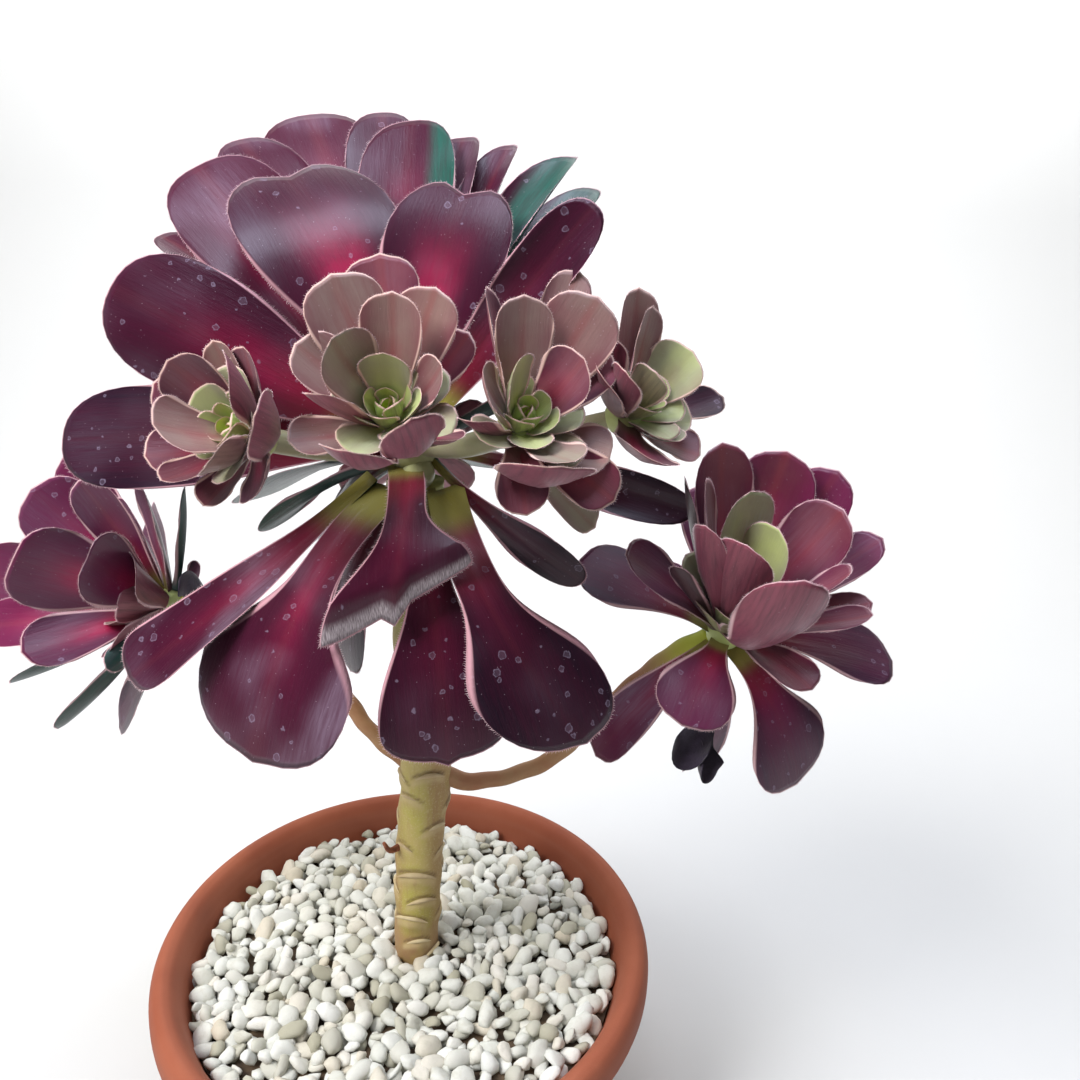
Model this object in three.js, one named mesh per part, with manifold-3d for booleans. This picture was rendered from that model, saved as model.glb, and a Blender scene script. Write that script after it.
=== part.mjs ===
// Potted tree aeonium: a terracotta bowl, potting mix, a gravel top dressing, a branched stem
// and its leaf rosettes. Millimetres, +Z up. The origin is the middle of the pot's underside,
// and the plant faces -Y. Azimuths turn from +X towards +Y, and a rise of 90 degrees is upright.
import * as THREE from 'three';
import { mergeVertices } from 'three/addons/utils/BufferGeometryUtils.js';
import Module from 'manifold-3d';

const wasm = await Module();
wasm.setup();

// ---- driving dimensions ----
const GAP = 0.35; // clear space between pieces that touch on the real plant
const POT = {
  rim: 107, height: 92, base: 68, wall: 6.5, floor: 8, sides: 36,
  lip: 10, // wall and rolled rim together, at the top
  rimFoot: 74, // where the rolled rim leaves the wall
  belly: 0.62, // how soon the inside widens: 1 is a straight cone
  rings: [24, 50], // heights where the curved wall has a ring of points
};
const DRAIN = { radius: 6, ring: 36, count: 3 };
const MIX_TOP = 72; // potting mix, under the gravel
const GRAVEL = { top: 79, mound: 3, pebble: 16, relief: 2.6 };
const TRUNK = { x: 3, radius: 9.6, foot: 40 }; // upright part below the gravel
const CROWN = [5, -10, 312]; // where the large leaves grow
const SKIRT = [8, -14, 302]; // where the hanging leaves grow, just below the crown
const SQUARENESS = 2.5; // of the round end of a leaf, 2 for an ellipse
const NARROW = 20; // a leaf under this width has fewer facets
const GOLDEN_ANGLE = 137.508;
const COLOURS = {
  terracotta: 0xc4714f, mix: 0x3b2b20, gravel: 0xb9b8a6, stem: 0xa9a05c,
  wine: 0x6a1f3f, mauve: 0x7d5458, taupe: 0x75604a,
};

// ---- leaf habits: how a kind of leaf is shaped, before the row of one leaf changes it ----
// neck: petiole width as a share of the blade; fullness: how late the blade widens; cap: share
// of the length in the round end; cup and arch: how far the blade curls up across and along;
// curl: bend of the outer half; notch: dip at the tip; point: small tip; sway: sideways bow;
// slant: uneven sides; inset and aside: mm from the middle of the rosette to the root, along the
// leaf and along x; across and along: facets of the blade.
const HABITS = {
  crown: {
    neck: 0.2, fullness: 3, cap: 0.27, thick: 3.2, cup: 0, arch: 0.06, curl: 0, notch: 0,
    point: 0, sway: 0, slant: 0, across: 4, along: 3, inset: 8, aside: 0,
  },
  skirt: {
    neck: 0.26, fullness: 4, cap: 0.26, thick: 3.2, cup: -0.05, arch: 0.15, curl: 0, notch: 0,
    point: 0.04, sway: 0, slant: 0, across: 4, along: 4, inset: 6, aside: 0,
  },
  offset: {
    neck: 0.36, fullness: 2, cap: 0.28, thick: 2.4, cup: 0.25, arch: -0.05, curl: 0, notch: 0,
    point: 0.07, sway: 0, slant: 0, across: 4, along: 2, inset: 4, aside: 0,
  },
  branch: {
    neck: 0.26, fullness: 2.3, cap: 0.27, thick: 2.6, cup: 0.18, arch: -0.02, curl: 0, notch: 0,
    point: 0.05, sway: 0, slant: 0, across: 4, along: 2, inset: 4, aside: 0,
  },
  bud: {
    neck: 0.38, fullness: 1.5, cap: 0.28, thick: 2.2, cup: 0.3, arch: -0.06, curl: 0, notch: 0,
    point: 0, sway: 0, slant: 0, across: 2, along: 2, inset: 0, aside: 0,
  },
};

// ---- the leaves, from the base of their rosette: [azimuth, rise, reach, width, turn, own shape]
// Angles are in degrees. Turn rolls the blade about its length.
const CROWN_LEAVES = [
  [154, 61, 111, 58, 0, { notch: 0.2, arch: 0.12, curl: -0.08, cup: -0.05, cap: 0.3, fullness: 2.4 }],
  [-170, 28, 110, 43, -45, { curl: -0.05, cup: -0.15, fullness: 1.7 }],
  [158, 46, 130, 43, -15, { cup: 0.12 }], [143, 49, 141, 34, 0, { cup: 0.1 }],
  [125, 53, 149, 50, 0, {}], [98, 64, 128, 38, -10, { cup: 0.1 }],
  [33, 77, 93, 45, 0, { notch: 0.2, arch: 0.1, curl: -0.06, fullness: 2.4, cap: 0.3 }],
  [107, 58, 142, 31, 0, { cup: 0.1 }], [77, 63, 123, 26, -15, { cup: 0.4 }],
  [55, 63, 119, 21, -20, { cup: 0.4 }], [26, 59, 117, 23, -20, { cup: 0.5 }],
  [-4, 53, 103, 21, 38, { cup: 0.25, neck: 0.3, fullness: 1.4 }],
  [35, 50, 120, 22, -10, { cup: 0.3 }], [27, 41, 87, 22, 0, { cup: 0.2 }],
  [155, 31, 136, 19, 0, { cup: 0.2 }], [-178, -1, 124, 38, -35, { fullness: 1.5 }],
  [146, -42, 71, 35, 0, {}], [162, -32, 78, 15, 50, {}],
  [11, -14, 113, 19, 60, { cup: 0.5, arch: -0.12 }], [-9, -36, 80, 16, 70, {}],
  [25, 15, 100, 50, -60, {}], [62, 30, 104, 54, -30, {}], [95, 18, 106, 56, 0, {}],
  [128, 34, 102, 52, 15, {}], [160, 10, 100, 50, 50, {}], [45, -8, 96, 46, -30, {}],
  [82, -16, 98, 50, 0, {}], [118, -6, 98, 48, 15, {}], [150, -22, 90, 42, 30, {}],
];
const SKIRT_LEAVES = [
  [-150, -36, 107, 29, 0, {
    cup: 0.2, arch: 0.05, cap: 0.12, sway: -0.08, inset: 2, aside: -15, fullness: 2.6,
  }],
  [-122, -49, 108, 59, 0, { fullness: 14, cap: 0.25, sway: 0.01, aside: -7 }],
  [-73, -54, 101, 42, 0, { fullness: 6, cap: 0.12, point: 0.14 }],
  [-45, -44, 107, 44, 0, { neck: 0.34, fullness: 12, cap: 0.22, sway: 0.13, aside: 7 }],
  [-84, -20, 64, 45, 3, {
    neck: 0.28, fullness: 20, cap: 0.03, arch: 0.08, curl: -0.08, slant: 0.14, point: 1.8,
    sway: -0.05, inset: -8, aside: -6,
  }],
  [-158, -70, 78, 26, 20, { fullness: 2.3 }],
];
const FRONT_LEAVES = [
  [180, 68, 46, 25, 0, { arch: 0, cup: 0.15 }], [-76, 81, 39, 19, 0, { arch: 0, cup: 0.3 }],
  [9, 72, 42, 21, 0, { arch: 0, cup: 0.1 }], [111, 71, 52, 24, 0, { arch: 0 }],
  [20, 49, 36, 15, 0, {}], [-163, 40, 36, 19, 0, { arch: 0 }], [-127, 49, 34, 21, 0, {}],
  [-90, 58, 26, 16, 0, {}], [-37, 43, 28, 15, 0, {}], [-125, 20, 34, 12, 50, {}],
  [-149, -6, 32, 15, 0, {}], [-98, -2, 40, 21, 0, { arch: -0.2 }],
  [-74, 10, 47, 19, 0, { arch: -0.2 }], [-51, 1, 36, 12, -30, {}],
];
const RIGHT_LEAVES = [
  [-158, 76, 44, 11, 40, { arch: 0 }], [-73, 84, 41, 19, 0, { arch: 0 }],
  [5, 60, 47, 25, 0, { arch: 0, cup: 0.1 }], [56, 57, 58, 16, 0, { arch: 0 }],
  [-32, 46, 33, 20, 0, {}], [0, 42, 37, 18, 0, { curl: -0.1 }], [-58, -6, 33, 16, 0, {}],
  [-21, -12, 31, 23, 0, {}], [-74, -2, 48, 28, 0, { arch: -0.2 }],
  [-82, -30, 37, 16, 25, { arch: 0.05 }], [-117, 13, 30, 12, 40, {}], [-115, 42, 30, 14, 0, {}],
  [-87, 52, 30, 15, 0, {}], [-25, -28, 38, 18, 20, { arch: 0.05 }], [13, -50, 42, 17, 0, {}],
];
const LEFT_LEAVES = [
  [-161, 45, 34, 20, 0, {}], [176, 26, 36, 16, 0, {}], [-132, 13, 33, 24, 0, {}],
  [-154, -7, 33, 18, 0, {}], [-130, -16, 33, 16, 0, {}], [-132, -45, 27, 16, 0, {}],
  [-83, 40, 40, 19, 0, {}], [-169, 70, 32, 14, 0, {}], [-86, 75, 30, 14, 0, {}],
  [-71, 18, 40, 21, 0, { arch: -0.15 }], [-73, -18, 35, 15, 0, {}], [-90, 0, 40, 15, 0, {}],
];
const OUTER_LEAVES = [
  [0, 87, 42, 19, 0, { arch: 0 }], [-17, 79, 37, 15, 20, { arch: 0 }], [-112, 57, 32, 10, 50, {}],
  [-96, 27, 40, 14, 0, {}], [-110, 28, 36, 19, 0, {}], [-79, -12, 39, 22, 0, { arch: -0.1 }],
  [-9, -24, 29, 19, 0, {}], [-70, 39, 27, 14, 0, {}], [0, 46, 31, 21, 0, {}],
  [0, 1, 23, 18, 0, {}], [-43, -12, 24, 15, 0, {}], [32, 6, 45, 14, 0, {}],
  [137, 61, 36, 19, 0, {}],
];
const BRANCH_RIGHT_LEAVES = [
  [165, 84, 72, 25, 0, {}], [24, 74, 71, 30, 0, {}], [15, 57, 73, 26, 0, {}],
  [-16, 55, 63, 28, 0, {}], [2, 35, 67, 19, 0, {}], [-90, 74, 61, 26, 0, { fullness: 3 }],
  [-67, 63, 53, 22, 0, {}], [-174, 71, 63, 17, 40, {}], [-141, 73, 64, 16, 20, {}],
  [-117, 52, 65, 15, 30, {}], [-98, 47, 65, 22, 0, {}],
  [-82, 35, 72, 28, 0, { cup: 0.3, arch: -0.16 }], [-52, 38, 61, 21, 0, {}],
  [-9, 18, 54, 15, 0, {}], [-33, 21, 55, 13, 0, {}],
  [2, -9, 67, 31, 0, { cup: 0, arch: 0.06, fullness: 4 }],
  [-32, -57, 63, 40, 0, { cup: 0, arch: 0.12, fullness: 5 }], [-55, -8, 42, 19, 0, { arch: 0.06 }],
  [-118, -24, 47, 28, 0, { cup: 0, arch: 0.12, fullness: 3.5 }],
  [-156, 38, 57, 25, 0, { arch: 0.03 }],
  [168, 22, 61, 31, 0, { cup: 0, arch: 0.03, fullness: 3.5 }],
  [-171, -47, 69, 20, 0, { arch: 0.1 }], [98, -73, 77, 17, 0, { arch: 0.1 }],
  [-137, 44, 48, 8, 60, {}], [95, 50, 62, 27, 0, {}], [60, 22, 58, 27, 0, {}],
  [120, 10, 56, 27, 0, {}],
];
const BRANCH_LEFT_LEAVES = [
  [154, 44, 76, 22, 30, {}], [-167, 62, 58, 18, 50, {}], [171, 38, 70, 31, 40, {}],
  [-149, 27, 58, 33, 50, { cup: -0.05, notch: 0.1 }],
  [-105, 39, 51, 27, -25, { cup: 0.05, notch: 0.16 }], [177, 6, 82, 31, 5, {}],
  [-171, -6, 74, 22, 5, {}], [-138, -7, 53, 22, -45, {}], [-158, -24, 64, 18, 50, {}],
  [180, -48, 78, 15, 60, {}], [-103, -17, 39, 10, 60, {}], [-94, 77, 54, 14, 10, {}],
  [149, 55, 48, 15, 0, {}], [0, 78, 50, 8, -30, {}], [152, -58, 80, 21, 0, {}],
  [-8, 50, 23, 11, 0, {}], [120, 20, 64, 26, 0, {}], [140, -15, 60, 24, 0, {}],
];

// ---- rosettes: base point, growing direction, leaf rows, the young leaves spiralling in the
// middle, and the stalk that carries an offset from the crown. The frontmost come first, and a
// later one is trimmed where it would touch an earlier one. ----
const ROSETTES = [
  {
    name: 'offset_rosette_front', colour: 'taupe', base: [6, -52, 326], axis: [-0.02, -0.75, 0.66],
    habit: 'offset', leaves: FRONT_LEAVES, hub: 10, stalk: 4.5,
    bud: { count: 10, length: [8, 24], width: [6, 17], open: 60, start: 30, seed: 1 },
  },
  {
    name: 'offset_rosette_left', colour: 'taupe', base: [-40, -42, 318], axis: [-0.5, -0.76, 0.4],
    habit: 'offset', leaves: LEFT_LEAVES, hub: 10, stalk: 4.5,
    bud: { count: 10, length: [8, 26], width: [6, 18], open: 55, start: 100, seed: 3 },
  },
  {
    name: 'offset_rosette_right', colour: 'taupe', base: [44, -46, 324], axis: [0.25, -0.68, 0.69],
    habit: 'offset', leaves: RIGHT_LEAVES, hub: 10, stalk: 4.5,
    bud: { count: 10, length: [8, 24], width: [6, 17], open: 60, start: 64, seed: 2 },
  },
  {
    name: 'offset_rosette_outer', colour: 'taupe', base: [80, -20, 326], axis: [0.45, -0.5, 0.74],
    habit: 'offset', leaves: OUTER_LEAVES, hub: 9, stalk: 3.5,
    bud: { count: 10, length: [8, 22], width: [6, 15], open: 60, start: 150, seed: 4 },
  },
  {
    name: 'offset_rosette_back', colour: 'taupe', base: [0, 38, 300], axis: [-0.1, 0.86, 0.5],
    habit: 'offset', leaves: [], hub: 10, stalk: 4.5,
    bud: { count: 20, length: [8, 38], width: [6, 19], open: 82, start: 20, seed: 7 },
  },
  {
    name: 'branch_rosette_right', colour: 'mauve', base: [124, -12, 244], axis: [0.12, -0.45, 0.88],
    habit: 'branch', leaves: BRANCH_RIGHT_LEAVES, hub: 11, stalk: 0,
    bud: { count: 10, length: [10, 30], width: [7, 20], open: 42, start: 150, seed: 5 },
  },
  {
    name: 'branch_rosette_left', colour: 'mauve', base: [-96, 6, 240], axis: [-0.75, -0.6, 0.3],
    habit: 'branch', leaves: BRANCH_LEFT_LEAVES, hub: 11, stalk: 0,
    bud: { count: 9, length: [10, 34], width: [8, 20], open: 45, start: 150, seed: 6 },
  },
];

// ---- stem: the trunk and its two branches, as points on their centre lines ----
const TRUNK_LINE = [
  [TRUNK.x, 0, TRUNK.foot], [TRUNK.x, 0, 80], [5, 0, 130], [8, 0, 179], [7, -4, 240], [6, -9, 298],
];
const TRUNK_RADII = [TRUNK.radius, TRUNK.radius, 10, 11, 11.5, 10.5];
const BRANCHES = [
  {
    line: [[9, 0, 172], [30, 5, 164], [61, 14, 171], [91, 12, 206], [107, 2, 227], [121, -9, 241]],
    radii: [4, 3.5, 3.3, 3.3, 3.6, 4.5],
  },
  {
    line: [[6, 0, 172], [-14, 3, 186], [-33, 10, 207], [-55, 14, 222], [-74, 12, 235], [-92, 7, 241]],
    radii: [4, 3.3, 3.3, 3.3, 3.8, 5],
  },
];

// ---- solids ----
const vector = (point) => new THREE.Vector3(...point);

function toSolid(geometry) {
  const bare = geometry.clone();
  bare.deleteAttribute('normal');
  bare.deleteAttribute('uv');
  const merged = mergeVertices(bare, 1e-4);
  const index = merged.index.array;
  const faces = [];
  for (let i = 0; i < index.length; i += 3) {
    const [a, b, c] = index.slice(i, i + 3);
    if (a !== b && b !== c && c !== a) faces.push(a, b, c);
  }
  return new wasm.Manifold(new wasm.Mesh({
    numProp: 3,
    vertProperties: new Float32Array(merged.attributes.position.array),
    triVerts: new Uint32Array(faces),
  }));
}

function toGeometry(solid) {
  const mesh = solid.getMesh();
  const geometry = new THREE.BufferGeometry();
  geometry.setAttribute('position', new THREE.BufferAttribute(new Float32Array(mesh.vertProperties), 3));
  geometry.setIndex(new THREE.BufferAttribute(new Uint32Array(mesh.triVerts), 1));
  return geometry;
}

const join = (solids) => solids.reduce((whole, next) => whole.add(next));

// Trimming can cut a scrap off a leaf: only the piece that holds together is kept.
function largestBody(solid) {
  const bodies = solid.decompose();
  return bodies.reduce((best, next) => (next.volume() > best.volume() ? next : best));
}

// Closed surface from rings of points that all run the same way round.
function loft(rings) {
  const sides = rings[0].length;
  const positions = rings.flat().flatMap((point) => point.toArray());
  const index = [];
  for (let i = 0; i < rings.length - 1; i++) {
    for (let j = 0; j < sides; j++) {
      const a = i * sides + j;
      const b = i * sides + (j + 1) % sides;
      index.push(a, b, b + sides, a, b + sides, a + sides);
    }
  }
  const last = (rings.length - 1) * sides;
  for (let j = 1; j < sides - 1; j++) {
    index.push(0, j + 1, j, last, last + j, last + j + 1);
  }
  const geometry = new THREE.BufferGeometry();
  geometry.setAttribute('position', new THREE.Float32BufferAttribute(positions, 3));
  geometry.setIndex(index);
  return geometry;
}

// A round limb along a smooth line, its radius changing evenly from point to point.
function limb(line, radii, sides, steps, grow = 0) {
  const path = new THREE.CatmullRomCurve3(line.map(vector));
  const frames = path.computeFrenetFrames(steps, false);
  const rings = [];
  for (let i = 0; i <= steps; i++) {
    const place = (i / steps) * (radii.length - 1);
    const before = Math.min(Math.floor(place), radii.length - 2);
    const radius = THREE.MathUtils.lerp(radii[before], radii[before + 1], place - before) + grow;
    const centre = path.getPointAt(i / steps);
    rings.push(Array.from({ length: sides }, (_, j) => {
      const angle = (2 * Math.PI * j) / sides;
      return centre.clone()
        .addScaledVector(frames.normals[i], radius * Math.cos(angle))
        .addScaledVector(frames.binormals[i], radius * Math.sin(angle));
    }));
  }
  return toSolid(loft(rings));
}

function ball(centre, radius, detail = 0) {
  const geometry = new THREE.IcosahedronGeometry(radius, detail);
  geometry.translate(...centre);
  return toSolid(geometry);
}

// Profile of radius and height turned about the Z axis.
function turned(profile, sides = POT.sides) {
  return toSolid(new THREE.LatheGeometry(profile.map(([r, z]) => new THREE.Vector2(r, z)), sides)
    .rotateX(Math.PI / 2));
}

// An upright round rod about its middle.
function upright(radius, length, sides, centre) {
  const geometry = new THREE.CylinderGeometry(radius, radius, length, sides).rotateX(Math.PI / 2);
  geometry.translate(...centre);
  return toSolid(geometry);
}

// ---- one leaf ----
function direction(azimuth, rise) {
  const a = THREE.MathUtils.degToRad(azimuth);
  const e = THREE.MathUtils.degToRad(rise);
  return new THREE.Vector3(Math.cos(e) * Math.cos(a), Math.cos(e) * Math.sin(a), Math.sin(e));
}

// A leaf from its root along `along`, its upper face turned towards `face`.
function makeLeaf(root, along, face, length, width, turn, shape) {
  const side = new THREE.Vector3();
  const up = face.clone().addScaledVector(along, -along.dot(face)).normalize();
  up.applyAxisAngle(along, THREE.MathUtils.degToRad(turn));
  side.crossVectors(along, up);
  return { root, along, up, side, length, width, shape };
}

// The two faces of a blade as grids of points; `grow` swells it on every side.
function bladeFaces(leaf, grow) {
  const { root, along, up, side, shape } = leaf;
  const { neck, fullness, cap, cup, arch, curl, notch, point, sway, slant } = shape;
  const half = leaf.width / 2;
  const upper = [];
  const lower = [];
  for (let i = 0; i <= shape.along; i++) {
    const t = i / shape.along;
    const spread = neck + (1 - neck) * Math.sin((Math.PI / 2) * t) ** fullness;
    const upperRow = [];
    const lowerRow = [];
    for (let j = 0; j <= shape.across; j++) {
      const u = Math.sin(Math.PI * (j / shape.across - 0.5));
      const end = (1 - Math.min(1, Math.abs(u)) ** SQUARENESS) ** (1 / SQUARENESS)
        - notch * Math.exp(-((u / 0.28) ** 2)) + point * Math.exp(-((u / 0.09) ** 2));
      const x = ((1 - cap) * t + cap * t ** 2.5 * end) * (1 + slant * u * t);
      const outer = THREE.MathUtils.clamp((x - 0.55) / 0.45, 0, 1.2);
      const rise = 4 * arch * x * (1 - x) + curl * outer * outer;
      const slope = 4 * arch * (1 - 2 * x) + (2 * curl * outer) / 0.45;
      const tangent = along.clone().addScaledVector(up, slope).normalize();
      const normal = up.clone().addScaledVector(tangent, -tangent.dot(up)).normalize();
      const across = (half + grow) * spread * u + sway * leaf.length * 4 * x * (1 - x);
      const lift = cup * half * (spread * u) ** 2;
      const thickness = shape.thick * (1 - 0.5 * t) * (1 - Math.abs(u) ** 2.4) * (1 - t ** 8);
      const middle = root.clone().addScaledVector(along, x * (leaf.length + grow))
        .addScaledVector(up, rise * leaf.length).addScaledVector(side, across);
      upperRow.push(middle.clone().addScaledVector(normal, lift + grow));
      lowerRow.push(middle.clone().addScaledVector(normal, lift - thickness - grow));
    }
    upper.push(upperRow);
    lower.push(lowerRow);
  }
  return { upper, lower };
}

function leafSolid(leaf, grow = 0) {
  const { upper, lower } = bladeFaces(leaf, grow);
  const rings = upper.map((row, i) => [...row, ...lower[i].slice().reverse()]);
  return toSolid(bladeSurface(rings, leaf.shape.across + 1));
}

// Rings of a blade joined so that both of its faces are cut along the same diagonals.
function bladeSurface(rings, columns) {
  const sides = 2 * columns;
  const positions = rings.flat().flatMap((point) => point.toArray());
  const index = [];
  const mirror = (j) => sides - 1 - j;
  for (let near = 0; near < (rings.length - 1) * sides; near += sides) {
    const far = near + sides;
    for (let j = 0; j < columns; j++) {
      index.push(near + j, near + j + 1, far + j, near + j + 1, far + j + 1, far + j);
    }
    for (let j = 0; j < columns - 1; j++) {
      const [a, b] = [mirror(j), mirror(j + 1)];
      index.push(near + a, far + a, near + b, near + b, far + a, far + b);
    }
    index.push(near + sides - 1, near, far + sides - 1, near, far, far + sides - 1);
  }
  const last = (rings.length - 1) * sides;
  for (let j = 0; j < columns - 1; j++) {
    const [a, b, c, d] = [j, j + 1, mirror(j + 1), mirror(j)];
    index.push(a, c, b, a, d, c);
    index.push(last + a, last + b, last + c, last + a, last + c, last + d);
  }
  const geometry = new THREE.BufferGeometry();
  geometry.setAttribute('position', new THREE.Float32BufferAttribute(positions, 3));
  geometry.setIndex(index);
  return geometry;
}

// ---- one rosette ----
function placedLeaves(base, axis, habit, rows) {
  return rows.map(([azimuth, rise, reach, width, turn, own]) => {
    const shape = { ...HABITS[habit], ...own };
    if (width < NARROW) shape.across = 2;
    const along = direction(azimuth, rise);
    const root = base.clone().addScaledVector(along, shape.inset);
    root.x += shape.aside;
    return makeLeaf(root, along, axis, reach - shape.inset, width, turn, shape);
  });
}

// A fixed number between 0 and 1 for each leaf, the same at every build.
function scatter(i, seed) {
  const value = Math.sin(i * 12.9898 + seed * 78.233) * 43758.5453;
  return value - Math.floor(value);
}

// Young leaves spiral out from the middle by the golden angle, opening and growing as they go.
function spiralLeaves(base, axis, bud) {
  const across = new THREE.Vector3().crossVectors(axis, new THREE.Vector3(0, 0, 1)).normalize();
  const upward = new THREE.Vector3().crossVectors(across, axis);
  const leaves = [];
  for (let i = 0; i < bud.count; i++) {
    const age = i / (bud.count - 1);
    const turn = THREE.MathUtils.degToRad(bud.start + GOLDEN_ANGLE * i);
    const outward = across.clone().multiplyScalar(Math.cos(turn))
      .addScaledVector(upward, Math.sin(turn));
    const opening = 4 + (bud.open - 4) * age ** 0.9 + 8 * (scatter(i, bud.seed) - 0.5);
    const lean = THREE.MathUtils.degToRad(opening);
    const length = THREE.MathUtils.lerp(...bud.length, age) * (0.94 + 0.12 * scatter(i, bud.seed + 1));
    const width = THREE.MathUtils.lerp(...bud.width, age) * (0.94 + 0.12 * scatter(i, bud.seed + 2));
    const along = axis.clone().multiplyScalar(Math.cos(lean))
      .addScaledVector(outward, Math.sin(lean));
    const face = axis.clone().multiplyScalar(Math.sin(lean))
      .addScaledVector(outward, -Math.cos(lean));
    const root = base.clone().addScaledVector(axis, 6 - 5 * age)
      .addScaledVector(outward, 3 * (0.25 + 0.45 * age));
    const shape = {
      ...HABITS.bud, cup: 0.3 * (1.2 - 0.5 * age), arch: -0.14 + 0.16 * age, curl: -0.06 * age,
    };
    const roll = 20 * (scatter(i, bud.seed + 3) - 0.5);
    leaves.push(makeLeaf(root, along, face, length, width, roll, shape));
  }
  return leaves;
}

function growRosette(spec) {
  const base = vector(spec.base);
  const axis = vector(spec.axis).normalize();
  const leaves = [
    ...placedLeaves(base, axis, spec.habit, spec.leaves), ...spiralLeaves(base, axis, spec.bud),
  ];
  const core = (grow) => {
    const solids = [ball(spec.base, spec.hub + grow)];
    if (spec.stalk) {
      const line = [CROWN, midway(CROWN, spec.base), spec.base];
      solids.push(limb(line, line.map(() => spec.stalk), 6, 3, grow));
    }
    return solids;
  };
  return { name: spec.name, colour: spec.colour, leaves, core };
}

// A point between two others, let down a little, so that a stalk sags before it rises.
function midway(from, to) {
  return from.map((value, i) => (value + to[i]) / 2 - (i === 2 ? 3 : 0));
}

function growCrown() {
  const axis = new THREE.Vector3(0, -0.5, 0.87).normalize();
  const skirtAxis = new THREE.Vector3(0, -0.35, 0.93).normalize();
  const leaves = [
    ...placedLeaves(vector(CROWN), axis, 'crown', CROWN_LEAVES),
    ...placedLeaves(vector(SKIRT), skirtAxis, 'skirt', SKIRT_LEAVES),
  ];
  const core = (grow) => [ball(CROWN, 19 + grow, 1), ball(SKIRT, 17 + grow, 1)];
  return { name: 'mother_rosette', colour: 'wine', leaves, core };
}

function partSolids(part, grow) {
  return [...part.core(grow), ...part.leaves.map((leaf) => leafSolid(leaf, grow))];
}

// ---- pot, mix, gravel ----
function innerRadius(z) {
  const rise = (z - POT.floor) / (POT.height - POT.floor);
  const foot = POT.base - POT.wall;
  return foot + (POT.rim - POT.lip - foot) * rise ** POT.belly;
}

function drainedPot() {
  const { rim, height, base, floor, wall, rimFoot, rings } = POT;
  const outer = rings.map((z) => [innerRadius(z) + wall, z]);
  const inner = [height - 6, ...rings.toReversed(), floor + 3].map((z) => [innerRadius(z), z]);
  let pot = turned([
    [0, 0], [base - 2, 0], [base, 2], ...outer,
    [rim - 3.5, rimFoot], [rim, rimFoot + 4], [rim, height - 5],
    [rim - 2, height - 1.2], [rim - 5, height], [rim - 8.4, height - 1.4],
    ...inner, [0, floor],
  ]);
  for (let i = 0; i < DRAIN.count; i++) {
    const angle = (2 * Math.PI * (i + 0.5)) / DRAIN.count;
    const centre = [DRAIN.ring * Math.cos(angle), DRAIN.ring * Math.sin(angle), floor / 2];
    pot = pot.subtract(upright(DRAIN.radius, 3 * floor, 12, centre));
  }
  return pot;
}

function stemHole() {
  const depth = POT.height - TRUNK.foot;
  return upright(TRUNK.radius + 1, depth, 24, [TRUNK.x, 0, TRUNK.foot - GAP + depth / 2]);
}

// The filling fits the pot's inside with a small gap.
function filling(bottom, top) {
  const heights = [bottom, ...POT.rings.filter((z) => z > bottom), top];
  return turned([[0, bottom], ...heights.map((z) => [innerRadius(z) - GAP, z]), [0, top]]);
}

// Gravel as relief: a triangular grid in which every third point is the top of a pebble.
function pebbleRelief() {
  const step = GRAVEL.pebble / Math.sqrt(3);
  const rowStep = step * Math.sqrt(0.75);
  const reach = Math.ceil(POT.rim / rowStep) + 1;
  const heightAt = (i, j) => {
    const isTop = (((i - j) % 3) + 3) % 3 === 0;
    return isTop ? GRAVEL.relief * (0.7 + 0.6 * scatter(i, j)) : 0;
  };
  const upper = [];
  for (let j = -reach; j <= reach; j++) {
    const row = [];
    for (let i = -reach; i <= reach; i++) {
      const x = step * (i + j / 2 - Math.round(j / 2)) + 0.25 * step * (scatter(i, j + 0.3) - 0.5);
      const y = rowStep * j + 0.25 * step * (scatter(j, i + 0.7) - 0.5);
      const mound = GRAVEL.mound * (1 - (x * x + y * y) / (POT.rim * POT.rim));
      row.push(new THREE.Vector3(x, y, GRAVEL.top + mound + heightAt(i - Math.round(j / 2), j)));
    }
    upper.push(row);
  }
  return slab(upper, MIX_TOP - 10);
}

// A grid of points closed by walls and a flat bottom.
function slab(upper, bottom) {
  const rows = upper.length;
  const columns = upper[0].length;
  const lower = upper.map((row) => row.map((point) => new THREE.Vector3(point.x, point.y, bottom)));
  const positions = [...upper.flat(), ...lower.flat()].flatMap((point) => point.toArray());
  const under = rows * columns;
  const index = [];
  const face = (a, b, c, d) => index.push(a, b, c, a, c, d);
  for (let j = 0; j < rows - 1; j++) {
    for (let i = 0; i < columns - 1; i++) {
      const a = j * columns + i;
      const [b, c, d] = [a + 1, a + columns + 1, a + columns];
      index.push(a, b, d, b, c, d);
      index.push(under + a, under + d, under + b, under + b, under + d, under + c);
    }
  }
  for (let i = 0; i < columns - 1; i++) {
    face(under + i, under + i + 1, i + 1, i);
    const top = (rows - 1) * columns + i;
    face(top, top + 1, under + top + 1, under + top);
  }
  for (let j = 0; j < rows - 1; j++) {
    const start = j * columns;
    face(start, start + columns, under + start + columns, under + start);
    const end = start + columns - 1;
    face(under + end, under + end + columns, end + columns, end);
  }
  const geometry = new THREE.BufferGeometry();
  geometry.setAttribute('position', new THREE.Float32BufferAttribute(positions, 3));
  geometry.setIndex(index);
  return toSolid(geometry);
}

// ---- assembly ----
function addPart(group, name, solid, colour, roughness = 0.7) {
  const material = new THREE.MeshStandardMaterial({ color: colour, roughness, metalness: 0 });
  const mesh = new THREE.Mesh(toGeometry(solid), material);
  mesh.name = name;
  group.add(mesh);
}

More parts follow.
